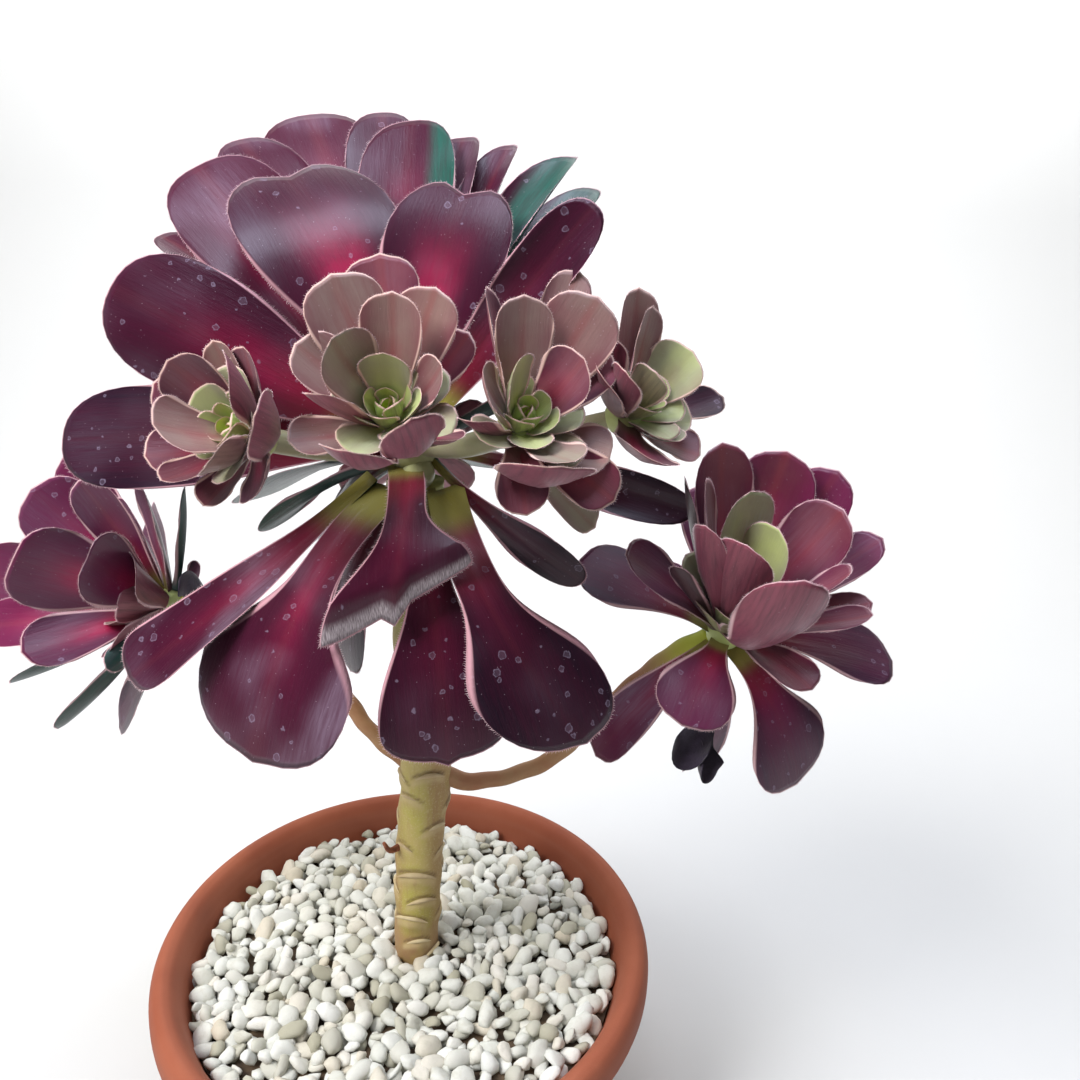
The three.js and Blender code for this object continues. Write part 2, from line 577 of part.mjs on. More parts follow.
function stemSolids(grow) {
  return [
    limb(TRUNK_LINE, TRUNK_RADII, 12, 8, grow),
    ...BRANCHES.map(({ line, radii }) => limb(line, radii, 7, 9, grow)),
  ];
}

const plant = new THREE.Group();
plant.name = 'potted_aeonium';
addPart(plant, 'pot', drainedPot(), COLOURS.terracotta, 0.75);
const mix = filling(POT.floor + 3 + GAP, MIX_TOP).subtract(stemHole());
addPart(plant, 'potting_mix', mix, COLOURS.mix, 0.95);
const dressing = pebbleRelief()
  .intersect(filling(MIX_TOP + GAP, POT.height - 5))
  .subtract(stemHole());
addPart(plant, 'gravel', largestBody(dressing), COLOURS.gravel, 0.85);
addPart(plant, 'stem', join(stemSolids(0)), COLOURS.stem, 0.6);

// Each rosette is trimmed clear of the stem and of the rosettes in front of it.
const grown = [...ROSETTES.map(growRosette), growCrown()];
const taken = stemSolids(GAP);
for (const rosette of grown) {
  const whole = join(partSolids(rosette, 0));
  const trimmed = taken.reduce((rest, next) => rest.subtract(next), whole);
  addPart(plant, rosette.name, largestBody(trimmed), COLOURS[rosette.colour], 0.55);
  taken.push(...partSolids(rosette, GAP));
}

export default plant;
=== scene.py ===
"""Potted tree aeonium: leaves, hairs, bark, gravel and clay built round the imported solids.

Classes hold their sizes in millimetres in the row frame: +Z up, origin under the pot, the plant
facing -Y. Meshes and node inputs are in metres.
"""
from __future__ import annotations

import logging
import math
from dataclasses import dataclass, field, replace
from enum import Enum
from typing import Callable, Sequence, Union

import bpy
import numpy as np
from mathutils import Matrix


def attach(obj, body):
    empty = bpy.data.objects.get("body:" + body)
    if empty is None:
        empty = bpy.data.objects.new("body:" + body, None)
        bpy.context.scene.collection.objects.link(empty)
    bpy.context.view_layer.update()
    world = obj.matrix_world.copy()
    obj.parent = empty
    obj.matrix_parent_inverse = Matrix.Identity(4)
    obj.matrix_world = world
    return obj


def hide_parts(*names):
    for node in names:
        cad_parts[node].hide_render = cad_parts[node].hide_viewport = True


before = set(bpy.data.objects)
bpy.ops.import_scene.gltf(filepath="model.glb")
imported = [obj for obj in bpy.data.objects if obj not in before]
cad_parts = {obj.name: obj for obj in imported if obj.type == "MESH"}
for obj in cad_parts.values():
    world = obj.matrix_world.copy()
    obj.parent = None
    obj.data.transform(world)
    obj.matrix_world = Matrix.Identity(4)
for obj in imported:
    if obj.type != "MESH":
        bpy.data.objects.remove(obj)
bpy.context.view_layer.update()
LOG = logging.getLogger("aeonium")

MM = 0.001
BODY = "root"
GOLDEN_ANGLE = 137.508

Triple = tuple[float, float, float]
Colour = tuple[float, float, float, float]
Material = bpy.types.Material
Mesh = bpy.types.Mesh
Node = bpy.types.Node
Piece = bpy.types.Object
Socket = bpy.types.NodeSocket
Tree = bpy.types.NodeTree
Input = Union[float, int, bool, str, tuple, Socket, Material]


def rgb(red: float, green: float, blue: float) -> Colour:
    """Opaque linear colour."""
    return (red, green, blue, 1.0)


def unit(vector: Sequence[float]) -> np.ndarray:
    """Vector of length one in the same direction."""
    array = np.asarray(vector, float)
    return array / np.linalg.norm(array)


def scatter(index: float, seed: float) -> float:
    """Fixed number between 0 and 1 for each index and seed."""
    value = math.sin(index * 12.9898 + seed * 78.233) * 43758.5453
    return value - math.floor(value)


def direction(azimuth: float, rise: float) -> np.ndarray:
    """Unit vector at an azimuth from +X and a rise above the horizon, both in degrees."""
    a, e = math.radians(azimuth), math.radians(rise)
    return np.array([math.cos(e) * math.cos(a), math.cos(e) * math.sin(a), math.sin(e)])


# ---------------------------------------------------------------- nodes


@dataclass
class Sketch:
    """Adds nodes to a node tree and links them, one call for each node."""

    tree: Tree

    def add(self, kind: str, inputs: dict[int | str, Input] | None = None, **settings: Input) -> Node:
        """Adds one node.

        Args:
            kind: Blender's type name of the node.
            inputs: Value or output socket for each input, by name or number.
            **settings: Properties of the node itself.

        Returns:
            The new node.
        """
        node = self.tree.nodes.new(kind)
        for name, value in settings.items():
            setattr(node, name, value)
        for key, value in (inputs or {}).items():
            if isinstance(value, bpy.types.NodeSocket):
                self.tree.links.new(value, node.inputs[key])
            else:
                node.inputs[key].default_value = value
        return node

    def math(self, operation: str, *values: Input, clamp: bool = False) -> Socket:
        """Result of a Math node on up to three values."""
        inputs = dict(enumerate(values))
        return self.add("ShaderNodeMath", inputs, operation=operation, use_clamp=clamp).outputs[0]

    def product(self, *values: Input) -> Socket:
        """Product of two or more values.

        Args:
            *values: The factors.

        Returns:
            Their product.
        """
        total = values[0]
        for value in values[1:]:
            total = self.math("MULTIPLY", total, value)
        return total

    def scaled(self, vector: Input, factor: Input) -> Socket:
        """Vector times a number."""
        return self.add("ShaderNodeVectorMath", {0: vector, "Scale": factor}, operation="SCALE").outputs[0]

    def mix(self, share: Input, first: Input, second: Input, blend: str = "MIX") -> Socket:
        """Colour between two colours."""
        inputs = {0: share, 6: first, 7: second}
        return self.add("ShaderNodeMix", inputs, data_type="RGBA", blend_type=blend).outputs[2]

    def step(self, value: Input, low: Input, high: Input, start: float = 0.0, end: float = 1.0) -> Socket:
        """Smooth step of a value from start to end as it goes from low to high."""
        inputs = {0: value, 1: low, 2: high, 3: start, 4: end}
        return self.add("ShaderNodeMapRange", inputs, interpolation_type="SMOOTHSTEP").outputs[0]

    def ramp(self, value: Input, stops: Sequence[tuple[float, float, float, float]]) -> Socket:
        """Colour from a ramp whose stops are a place and a linear colour.

        Args:
            value: Place along the ramp.
            stops: Place, red, green and blue of each stop.

        Returns:
            The colour.
        """
        node = self.add("ShaderNodeValToRGB", {0: value})
        elements = node.color_ramp.elements
        while len(elements) < len(stops):
            elements.new(0.5)
        for element, (place, *colour) in zip(elements, stops):
            element.position = place
            element.color = rgb(*colour)
        return node.outputs[0]

    def noise(self, vector: Input, scale: float, detail: float = 2.0, roughness: float = 0.5) -> Socket:
        """Noise value between 0 and 1."""
        inputs = {"Vector": vector, "Scale": scale, "Detail": detail, "Roughness": roughness}
        return self.add("ShaderNodeTexNoise", inputs).outputs[0]

    def stretched(self, vector: Input, scale: Triple) -> Socket:
        """Vector scaled by its own factor on each axis."""
        return self.add("ShaderNodeMapping", {"Vector": vector, "Scale": scale}).outputs[0]

    def attribute(self, name: str, output: str = "Fac") -> Socket:
        """Value of a mesh attribute, in a material."""
        return self.add("ShaderNodeAttribute", attribute_name=name).outputs[output]

    def split(self, vector: Input) -> list[Socket]:
        """The three parts of a vector."""
        return list(self.add("ShaderNodeSeparateXYZ", {0: vector}).outputs)

    def object_place(self) -> Socket:
        """Object coordinates, in metres."""
        return self.add("ShaderNodeTexCoord").outputs["Object"]

    def named(self, name: str, kind: str) -> Socket:
        """Value of a mesh attribute, in a geometry tree."""
        return self.add("GeometryNodeInputNamedAttribute", {"Name": name}, data_type=kind).outputs[0]

    def chance(self, low: float | Triple, high: float | Triple, seed: Input) -> Socket:
        """Random number, or vector where the limits are vectors, for each element.

        Args:
            low: Lowest value.
            high: Highest value.
            seed: Random seed.

        Returns:
            The value.
        """
        if isinstance(low, tuple):
            inputs, kind, output = {0: low, 1: high, "Seed": seed}, "FLOAT_VECTOR", 0
        else:
            inputs, kind, output = {2: low, 3: high, "Seed": seed}, "FLOAT", 1
        return self.add("FunctionNodeRandomValue", inputs, data_type=kind).outputs[output]

    def planted(self, points: Socket, instance: Socket, rotation: Socket, scale: Socket) -> Socket:
        """Instances of one shape on points."""
        inputs = {"Points": points, "Instance": instance, "Rotation": rotation, "Scale": scale}
        return self.add("GeometryNodeInstanceOnPoints", inputs).outputs[0]

    def realized(self, instances: Socket) -> Socket:
        """Plain geometry made of instances."""
        return self.add("GeometryNodeRealizeInstances", {0: instances}).outputs[0]

    def coated(self, geometry: Socket, finish: Socket, smooth: bool = True) -> Socket:
        """Geometry with its shading and its material set.

        Args:
            geometry: Mesh to dress.
            finish: Its material.
            smooth: Whether it is shaded smooth.

        Returns:
            The dressed mesh.
        """
        if smooth:
            geometry = self.add("GeometryNodeSetShadeSmooth", {0: geometry}).outputs[0]
        return self.add("GeometryNodeSetMaterial", {"Geometry": geometry, "Material": finish}).outputs[0]


@dataclass
class Group(Sketch):
    """Node group with named inputs and outputs."""

    inputs: dict[str, Socket]
    output: Node

    @classmethod
    def start(cls, name: str, kind: str, inputs: dict[str, Input], outputs: dict[str, str]) -> "Group":
        """Starts a group.

        Args:
            name: Name of the group.
            kind: Shader or Geometry.
            inputs: First value of each input by name, or the kind of its socket.
            outputs: Kind of each output's socket, by name.

        Returns:
            The group, ready for its nodes.
        """
        tree = bpy.data.node_groups.new(name, kind + "NodeTree")
        kinds = {float: "Float", int: "Int", tuple: "Color"}
        for label, value in inputs.items():
            socket = "NodeSocket" + (value if isinstance(value, str) else kinds[type(value)])
            made = tree.interface.new_socket(label, in_out="INPUT", socket_type=socket)
            if not isinstance(value, str):
                made.default_value = value
        for label, socket in outputs.items():
            tree.interface.new_socket(label, in_out="OUTPUT", socket_type="NodeSocket" + socket)
        entry = Sketch(tree).add("NodeGroupInput")
        sockets = {socket.name: socket for socket in entry.outputs if socket.name}
        return cls(tree, sockets, Sketch(tree).add("NodeGroupOutput"))

    def close(self, *values: Socket) -> Tree:
        """Links the outputs in their order and returns the tree.

        Args:
            *values: Value of each output.

        Returns:
            The finished group.
        """
        for value, target in zip(values, self.output.inputs):
            self.tree.links.new(value, target)
        return self.tree


# ---------------------------------------------------------------- meshes


def place_mesh(name: str, mesh: Mesh) -> Piece:
    """Puts a mesh into the scene on an object at the origin.

    Args:
        name: Name of the object.
        mesh: Its mesh.

    Returns:
        The object.
    """
    piece = bpy.data.objects.new(name, mesh)
    bpy.context.scene.collection.objects.link(piece)
    return piece


def new_mesh(name: str, points: np.ndarray, faces: Sequence = (), edges: Sequence = ()) -> Mesh:
    """Mesh from points in millimetres.

    Args:
        name: Name of the mesh.
        points: Points in millimetres.
        faces: Corners of each face.
        edges: Ends of each loose edge.

    Returns:
        The mesh.
    """
    mesh = bpy.data.meshes.new(name)
    mesh.from_pydata((np.asarray(points).reshape(-1, 3) * MM).tolist(), edges, faces)
    return mesh


def shade_smooth(mesh: Mesh) -> None:
    """Gives every face of a mesh smooth shading."""
    mesh.polygons.foreach_set("use_smooth", [True] * len(mesh.polygons))


def store(mesh: Mesh, name: str, values: np.ndarray, kind: str = "FLOAT", domain: str = "POINT") -> None:
    """Stores an attribute on a mesh.

    Args:
        mesh: Mesh that gets the attribute.
        name: Name that the materials read.
        values: One number or vector for each element.
        kind: FLOAT or FLOAT_VECTOR.
        domain: Element that carries a value.
    """
    layer = mesh.attributes.new(name, kind, domain)
    key = "vector" if kind == "FLOAT_VECTOR" else "value"
    layer.data.foreach_set(key, np.asarray(values, np.float32).ravel())


def finish_piece(piece: Piece, slot: str, *nodes: str) -> None:
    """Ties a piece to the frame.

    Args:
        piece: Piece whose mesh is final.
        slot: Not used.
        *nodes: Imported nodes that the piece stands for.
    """
    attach(piece, BODY)
    if nodes:
        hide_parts(*nodes)
    LOG.info("%s: %d faces", piece.name, len(piece.data.polygons))


def baked(carrier: Piece) -> Mesh:
    """Mesh that an object's modifiers make.

    Args:
        carrier: Object with the modifiers.

    Returns:
        The new mesh.
    """
    bpy.context.view_layer.update()
    graph = bpy.context.evaluated_depsgraph_get()
    return bpy.data.meshes.new_from_object(carrier.evaluated_get(graph), depsgraph=graph)


def settle(piece: Piece) -> None:
    """Puts what a piece's modifiers make in place of its mesh, and removes them.

    Args:
        piece: Object to change.
    """
    mesh = baked(piece)
    piece.modifiers.clear()
    piece.data = mesh


def grown(name: str, guide: Mesh, tree: Tree, inputs: dict[str, Input]) -> Piece:
    """Runs a geometry node tree on a guide mesh and keeps what it makes.

    Args:
        name: Name of the piece.
        guide: Mesh that the tree reads.
        tree: Geometry node tree with named inputs.
        inputs: Value of each named input.

    Returns:
        A plain mesh object with no modifier.
    """
    carrier = place_mesh(name + "_guide", guide)
    modifier = carrier.modifiers.new("grow", "NODES")
    modifier.node_group = tree
    sockets = [item for item in tree.interface.items_tree if item.in_out == "INPUT"]
    identifiers = {item.name: item.identifier for item in sockets}
    for label, value in inputs.items():
        modifier[identifiers[label]] = value
    mesh = baked(carrier)
    bpy.data.objects.remove(carrier)
    return place_mesh(name, mesh)




def smooth_line(points: Sequence[Sequence[float]], count: int) -> np.ndarray:
    """Points evenly spaced along a smooth curve through the given points.

    Args:
        points: Points on the curve.
        count: Number of steps.

    Returns:
        Array of count + 1 points.
    """
    knots = np.asarray(points, float)
    padded = np.vstack([2 * knots[0] - knots[1], knots, 2 * knots[-1] - knots[-2]])
    dense = []
    for i in range(len(knots) - 1):
        p0, p1, p2, p3 = padded[i : i + 4]
        for s in np.linspace(0, 1, 16, endpoint=i == len(knots) - 2):
            dense.append(
                0.5
                * (
                    2 * p1
                    + (p2 - p0) * s
                    + (2 * p0 - 5 * p1 + 4 * p2 - p3) * s**2
                    + (3 * p1 - p0 - 3 * p2 + p3) * s**3
                )
            )
    dense = np.array(dense)
    reach = np.concatenate([[0], np.cumsum(np.linalg.norm(np.diff(dense, axis=0), axis=1))])
    marks = np.linspace(0, reach[-1], count + 1)
    return np.stack([np.interp(marks, reach, dense[:, k]) for k in range(3)], axis=1)


@dataclass
class Limb:
    """Round limb along a smooth line, its radius changing from point to point."""

    line: Sequence[Sequence[float]]
    radii: Sequence[float]
    sides: int = 24
    steps: int = 60

    def sections(self) -> tuple[np.ndarray, np.ndarray, np.ndarray, np.ndarray]:
        """Centres, radii and two cross directions along the limb.

        Returns:
            Centres, radii, and the first and second cross directions.
        """
        centres = smooth_line(self.line, self.steps)
        marks = np.linspace(0, len(self.radii) - 1, self.steps + 1)
        radii = np.interp(marks, np.arange(len(self.radii)), self.radii)
        tangents = np.gradient(centres, axis=0)
        tangents /= np.linalg.norm(tangents, axis=1)[:, None]
        first = np.zeros_like(centres)
        reference = np.array([0.0, -1.0, 0.0])
        for i, tangent in enumerate(tangents):
            reference = unit(reference - tangent * (tangent @ reference))
            first[i] = reference
        return centres, radii, first, np.cross(tangents, first)

    def rings(self, swell: Callable[[float, float], float] | None = None) -> np.ndarray:
        """Rings of points round the limb.

        Args:
            swell: Extra radius at a share of the length and an angle, if any.

        Returns:
            Array of rings by sides by 3.
        """
        centres, radii, first, second = self.sections()
        rings = np.zeros((self.steps + 1, self.sides, 3))
        for i in range(self.steps + 1):
            for j in range(self.sides):
                angle = 2 * math.pi * j / self.sides
                radius = radii[i] + (swell(i / self.steps, angle) if swell else 0)
                rings[i, j] = centres[i] + radius * (
                    first[i] * math.cos(angle) + second[i] * math.sin(angle)
                )
        return rings


def tube_faces(rings: int, sides: int, start: int = 0) -> list[tuple[int, ...]]:
    """Faces of a closed tube.

    Args:
        rings: Number of rings.
        sides: Points in a ring.
        start: Number of the first point.

    Returns:
        Quads of the wall and the two end caps, facing out.
    """
    faces = []
    for i in range(rings - 1):
        for j in range(sides):
            a, b = start + i * sides + j, start + i * sides + (j + 1) % sides
            faces.append((a, b, b + sides, a + sides))
    faces.append(tuple(start + j for j in reversed(range(sides))))
    faces.append(tuple(start + (rings - 1) * sides + j for j in range(sides)))
    return faces


# ---------------------------------------------------------------- leaves


SQUARENESS = 2.5  # of the round end of a leaf, 2 for an ellipse
CROWDING = 1.25  # how much closer the rows of a blade lie towards its tip
NOTCH_WIDTH, POINT_WIDTH, RIB_WIDTH = 0.28, 0.09, 0.14  # shares of half the width
CURL_START = 0.55  # share of the length


@dataclass(frozen=True)
class LeafShape:
    """Outline and bends of a blade, as shares of its size unless a field says millimetres.

    neck is the petiole's width, fullness how late the blade widens and cap the round end. cup
    and arch curl it up across and along, curl bends its outer half, notch and point shape the
    tip, sway bows it sideways and slant makes its sides uneven. fold turns the end back and
    aside moves the root.
    """

    neck: float
    fullness: float
    cap: float
    thick: float  # mm
    cup: float
    arch: float
    inset: float  # mm from the middle of the rosette
    curl: float = 0.0
    notch: float = 0.0
    point: float = 0.0
    sway: float = 0.0
    slant: float = 0.0
    ripple: float = 0.5  # mm, waves of the margin
    groove: float = 0.35  # mm, crease of the midrib
    fold: float = 0.0  # degrees
    fold_at: float = 0.8
    aside: float = 0.0  # mm along x


class Habit(Enum):
    """How each kind of leaf is shaped."""

    CROWN = LeafShape(0.2, 3.0, 0.27, 3.2, 0.0, 0.06, 8, ripple=0.8, groove=0.5)
    SKIRT = LeafShape(0.26, 4.0, 0.26, 3.2, -0.05, 0.15, 6, point=0.04, ripple=0.8)
    OFFSET = LeafShape(0.36, 2.0, 0.28, 2.4, 0.25, -0.05, 4, point=0.07)
    BRANCH = LeafShape(0.26, 2.3, 0.27, 2.6, 0.18, -0.02, 4, point=0.05)
    BUD = LeafShape(0.38, 1.5, 0.28, 2.2, 0.3, -0.06, 0, point=0.07, ripple=0.2)


@dataclass(frozen=True)
class LeafTone:
    """Finish of one leaf, each from 0 to 1.

    age runs from the green of a bud to wine, glow is the pink heart, dark the black-purple
    shade of the outer blade, spots are dried water marks, bloom_and_sheen the silvery film,
    partly the leaf's own waxy bloom and partly a painted sheen, hem the share of the length
    that is grey at the tip, and green how far a blue-green side reaches in.
    """

    age: float
    glow: float = 0.0
    dark: float = 0.0
    spots: float = 0.0
    bloom_and_sheen: float = 0.2
    hem: float = 0.0
    green: float = 0.0


class Tone(Enum):
    """Named finishes of the leaves."""

    HEART = LeafTone(1.0, 1.0, 0.6, 0.25, 0.3)
    CORAL = LeafTone(0.93, 0.75, 0.15, 0.05, 0.6)
    WINE = LeafTone(1.0, 0.45, 0.5, 0.5, 0.3)
    # DARK is partly the deep purple of old lower leaves and partly painted shade, given to leaves that hang
    # under or behind other leaves.
    DARK = LeafTone(1.0, 0.05, 0.95, 0.6, 0.2)
    SPOTTED = LeafTone(1.0, 0.15, 0.6, 1.0, 0.25)
    # SILVER carries the most film: its silvery patches are partly waxy bloom and partly a painted sheen.
    SILVER = LeafTone(1.0, 0.3, 0.4, 0.4, 1.0)
    HEMMED = LeafTone(1.0, 0.35, 0.2, 0.1, 0.3, 0.06)
    DUSK = LeafTone(0.9, 0.25, 0.4, 0.1, 0.5)
    MAUVE = LeafTone(0.74, 0.35, 0.05, 0.0, 0.3)
    ROSE = LeafTone(0.82, 0.65, 0.0, 0.0, 0.2)
    TAUPE = LeafTone(0.54, 0.2, 0.0, 0.0, 0.3)
    OLIVE = LeafTone(0.4, 0.0, 0.0, 0.0, 0.25)
    ICE = LeafTone(0.26, 0.15, 0.0, 0.0, 1.0)
    TEAL = LeafTone(1.0, 0.1, 0.6, 0.2, 0.5, green=0.9)
    EDGED = LeafTone(0.97, 0.7, 0.3, 0.05, 0.6, green=0.3)
    FRESH = LeafTone(0.18, 0.0, 0.0, 0.0, 0.15)


@dataclass(frozen=True)
class LeafRow:
    """One placed leaf: its angles in degrees, its size in millimetres, and its finish."""

    azimuth: float
    rise: float
    reach: float
    width: float
    turn: float
    tone: Tone
    own: dict[str, float]


def leaf(*sizes: float | Tone, **own: float) -> LeafRow:
    """Row of one leaf: its fields in order, then the shape fields that are its own."""
    return LeafRow(*sizes, own)


@dataclass
class Blade:
    """Both faces of a leaf as grids of points, with what its material reads at each point."""

    upper: np.ndarray
    lower: np.ndarray
    across: np.ndarray
    along: np.ndarray
    edge: np.ndarray
    flat: np.ndarray


@dataclass
class Leaf:
    """A leaf on its rosette."""

    root: np.ndarray
    line: np.ndarray
    up: np.ndarray
    length: float
    width: float
    shape: LeafShape
    tone: LeafTone
    seed: float

    @classmethod
    def facing(
        cls, root: np.ndarray, line: np.ndarray, face: Sequence[float], turn: float, **rest: object
    ) -> "Leaf":
        """Leaf from its root along a line, its upper face turned towards a direction.

        Args:
            root: Where the blade starts, in millimetres.
            line: Unit vector along the blade.
            face: Direction that the upper face looks in.
            turn: Roll about the line, in degrees.
            **rest: Length, width, shape, tone and seed.

        Returns:
            The leaf.
        """
        up, angle = unit(np.asarray(face) - line * (line @ np.asarray(face))), math.radians(turn)
        up = up * math.cos(angle) + np.cross(line, up) * math.sin(angle)
        return cls(root=root, line=line, up=up, **rest)

    def blade(self, columns: int, rows: int) -> Blade:
        """Grids of the two faces.

        Args:
            columns: Facets across the blade.
            rows: Facets along it.

        Returns:
            The blade.
        """
        s = self.shape
        half = self.width / 2
        t = (1 - (1 - np.linspace(0, 1, rows + 1)) ** CROWDING)[:, None]
        u = np.sin(np.pi * (np.linspace(0, 1, columns + 1) - 0.5))[None, :]
        spread = s.neck + (1 - s.neck) * np.sin(np.pi / 2 * t) ** s.fullness
        end = (1 - np.abs(u) ** SQUARENESS) ** (1 / SQUARENESS)
        end = end - s.notch * np.exp(-((u / NOTCH_WIDTH) ** 2))
        end = end + s.point * np.exp(-((u / POINT_WIDTH) ** 2))

        def reach_at(share: np.ndarray | float) -> np.ndarray:
            """How far along the blade each column has come at a share of the rows."""
            return ((1 - s.cap) * share + s.cap * share**2.5 * end) * (1 + s.slant * u * share)

        x = reach_at(t)
        outer = np.clip((x - CURL_START) / (1 - CURL_START), 0, 1.2)
        beyond = np.clip(x - reach_at(s.fold_at), 0, 1)
        bend = math.radians(s.fold)
        rise = 4 * s.arch * x * (1 - x) + s.curl * outer**2 + beyond * math.sin(bend)
        slope = 4 * s.arch * (1 - 2 * x) + 2 * s.curl * outer / (1 - CURL_START)
        slope = slope + np.where(beyond > 0, math.tan(bend * 0.49), 0)
        reach = x - beyond * (1 - math.cos(bend))
        across = half * spread * u + s.sway * self.length * 4 * x * (1 - x)
        phase = scatter(self.seed, 3.1)
        lift = s.cup * half * (spread * u) ** 2
        lift = lift + s.ripple * np.abs(u) ** 3 * t * np.sin(2 * np.pi * (1.7 * t + phase + 0.25 * u))
        lift = lift - s.groove * np.exp(-((u / RIB_WIDTH) ** 2)) * np.sin(np.pi * t) ** 0.5
        thickness = s.thick * (1 - 0.5 * t) * (1 - np.abs(u) ** 2.4) * (1 - t**8)
        side = np.cross(self.line, self.up)
        tangent = self.line + self.up * slope[..., None]
        tangent /= np.linalg.norm(tangent, axis=2)[..., None]
        normal = self.up - tangent * (tangent @ self.up)[..., None]
        normal /= np.linalg.norm(normal, axis=2)[..., None]
        middle = (
            self.root
            + self.line * (reach * self.length)[..., None]
            + self.up * (rise * self.length)[..., None]
            + side * across[..., None]
        )
        upper = middle + normal * lift[..., None]
        lower = middle + normal * (lift - thickness)[..., None]
        full = np.ones_like(x)
        edge = np.minimum(half * spread * (1 - np.abs(u)), (x[-1:, :] - x) * self.length)
        flat = np.stack([across * full, x * self.length, full * 40 * scatter(self.seed, 7.7)], axis=2)
        return Blade(upper, lower, u * full, t * full, edge, flat)


@dataclass
class LeafMesh:
    """Gathers leaves and round cores into one mesh with the attributes of the leaf materials."""

    points: list[np.ndarray] = field(default_factory=list)
    faces: list[tuple[int, ...]] = field(default_factory=list)
    under: list[float] = field(default_factory=list)
    layers: dict[str, list[np.ndarray]] = field(default_factory=dict)
    count: int = 0

    def gather(
        self, points: np.ndarray, flat: np.ndarray, place: np.ndarray, tone: LeafTone, chance: float
    ) -> int:
        """Adds points with what the leaf materials read there.

        Args:
            points: Places in millimetres.
            flat: Places on the unrolled surface.
            place: Share across, share along and distance from the margin.
            tone: Finish of the leaf.
            chance: Its random number.

        Returns:
            The number of the first point.
        """
        start = self.count
        self.points.append(points)
        values = {
            "flat": flat,
            "place": place,
            "tone": [tone.age, tone.glow, tone.dark],
            "marks": [tone.spots, tone.bloom_and_sheen, tone.hem],
            "tint": [tone.green, chance, 0.0],
        }
        for name, value in values.items():
            self.layers.setdefault(name, []).append(np.broadcast_to(value, (len(points), 3)))
        self.count += len(points)
        return start

    def add_leaf(self, item: Leaf, columns: int, rows: int) -> Blade:
        """Adds one leaf as a closed shell whose two faces share their margin.

        Args:
            item: The leaf.
            columns: Facets across it.
            rows: Facets along it.

        Returns:
            The leaf's blade.
        """
        blade = item.blade(columns, rows)
        inner = (slice(0, rows), slice(1, columns))

        def both(grid: np.ndarray, below: np.ndarray | None = None) -> np.ndarray:
            """Values at the upper face's points, then at the lower face's inner points."""
            lower = grid if below is None else below
            width = grid.shape[2] if grid.ndim == 3 else 1
            return np.vstack([grid.reshape(-1, width), lower[inner].reshape(-1, width)])

        points = both(blade.upper, blade.lower)
        place = np.hstack([both(blade.across), both(blade.along), both(blade.edge)])
        start = self.gather(points, both(blade.flat), place, item.tone, scatter(item.seed, 1.3))
        top = start + np.arange((rows + 1) * (columns + 1)).reshape(rows + 1, columns + 1)
        low = top.copy()
        low[inner] = top[-1, -1] + 1 + np.arange(rows * (columns - 1)).reshape(rows, columns - 1)
        for i in range(rows):
            for j in range(columns):
                above = (top[i, j], top[i, j + 1], top[i + 1, j + 1], top[i + 1, j])
                below = (low[i, j], low[i + 1, j], low[i + 1, j + 1], low[i, j + 1])
                self.faces += [tuple(int(k) for k in quad) for quad in (above, below)]
                self.under += [0.0, 1.0]
        rim = [int(k) for k in top[0]] + [int(k) for k in low[0, columns - 1 : 0 : -1]]
        self.faces.append(tuple(reversed(rim)))
        self.under.append(1.0)
        return blade

    def add_rings(self, rings: np.ndarray, tone: LeafTone) -> None:
        """Adds a closed round limb or ball, given as rings of points.

        Args:
            rings: Array of rings by sides by 3.
            tone: Finish of the surface.
        """
        count, sides = rings.shape[:2]
        points = rings.reshape(-1, 3)
        middle_of_leaf = np.array([0.0, 0.5, 9.0])
        start = self.gather(points, points, middle_of_leaf, tone, 0.5)
        walls = tube_faces(count, sides, start)
        self.faces += walls
        self.under += [0.0] * len(walls)

    def build(self, name: str, material: Material) -> Piece:
        """Makes the mesh object.

        Args:
            name: Name of the piece.
            material: Its one material.

        Returns:
            The piece.
        """
        mesh = new_mesh(name, np.vstack(self.points), self.faces)
        for label, values in self.layers.items():
            store(mesh, label, np.vstack(values), "FLOAT_VECTOR")
        store(mesh, "under", np.array(self.under), domain="FACE")
        shade_smooth(mesh)
        mesh.materials.append(material)
        return place_mesh(name, mesh)


@dataclass
class Margin:
    """Gathers leaf margins as lines for the hairs to grow on."""

    points: list[np.ndarray] = field(default_factory=list)
    outward: list[np.ndarray] = field(default_factory=list)
    length: list[float] = field(default_factory=list)
    edges: list[tuple[int, int]] = field(default_factory=list)

    def add(self, blade: Blade, length: float, start_at: float = 0.25) -> None:
        """Adds the margin of one leaf.

        Args:
            blade: Grids of the leaf.
            length: Length of its hairs, in millimetres.
            start_at: Share of the length where the hairs begin.
        """
        grid = blade.upper
        rows, columns = grid.shape[0] - 1, grid.shape[1] - 1
        first = int(np.argmax(blade.along[:, 0] >= start_at))
        middle = columns // 2
        walk = [(i, 0, (i, middle)) for i in range(first, rows)]
        walk += [(rows, j, (rows - 3, (j + middle) // 2)) for j in range(columns + 1)]
        walk += [(i, columns, (i, middle)) for i in range(rows - 1, first - 1, -1)]
        start = len(self.points)
        for i, j, inner in walk:
            self.points.append(grid[i, j])
            self.outward.append(unit(grid[i, j] - grid[inner]))
            self.length.append(length)
        self.edges += [(start + k, start + k + 1) for k in range(len(walk) - 1)]

    def guide(self) -> Mesh:
        """Mesh of lines that the hair tree reads.

        Returns:
            The mesh, with its attributes.
        """
        mesh = new_mesh("margin", np.array(self.points), edges=self.edges)
        store(mesh, "outward", np.array(self.outward), "FLOAT_VECTOR")
        store(mesh, "hair", np.array(self.length))
        return mesh


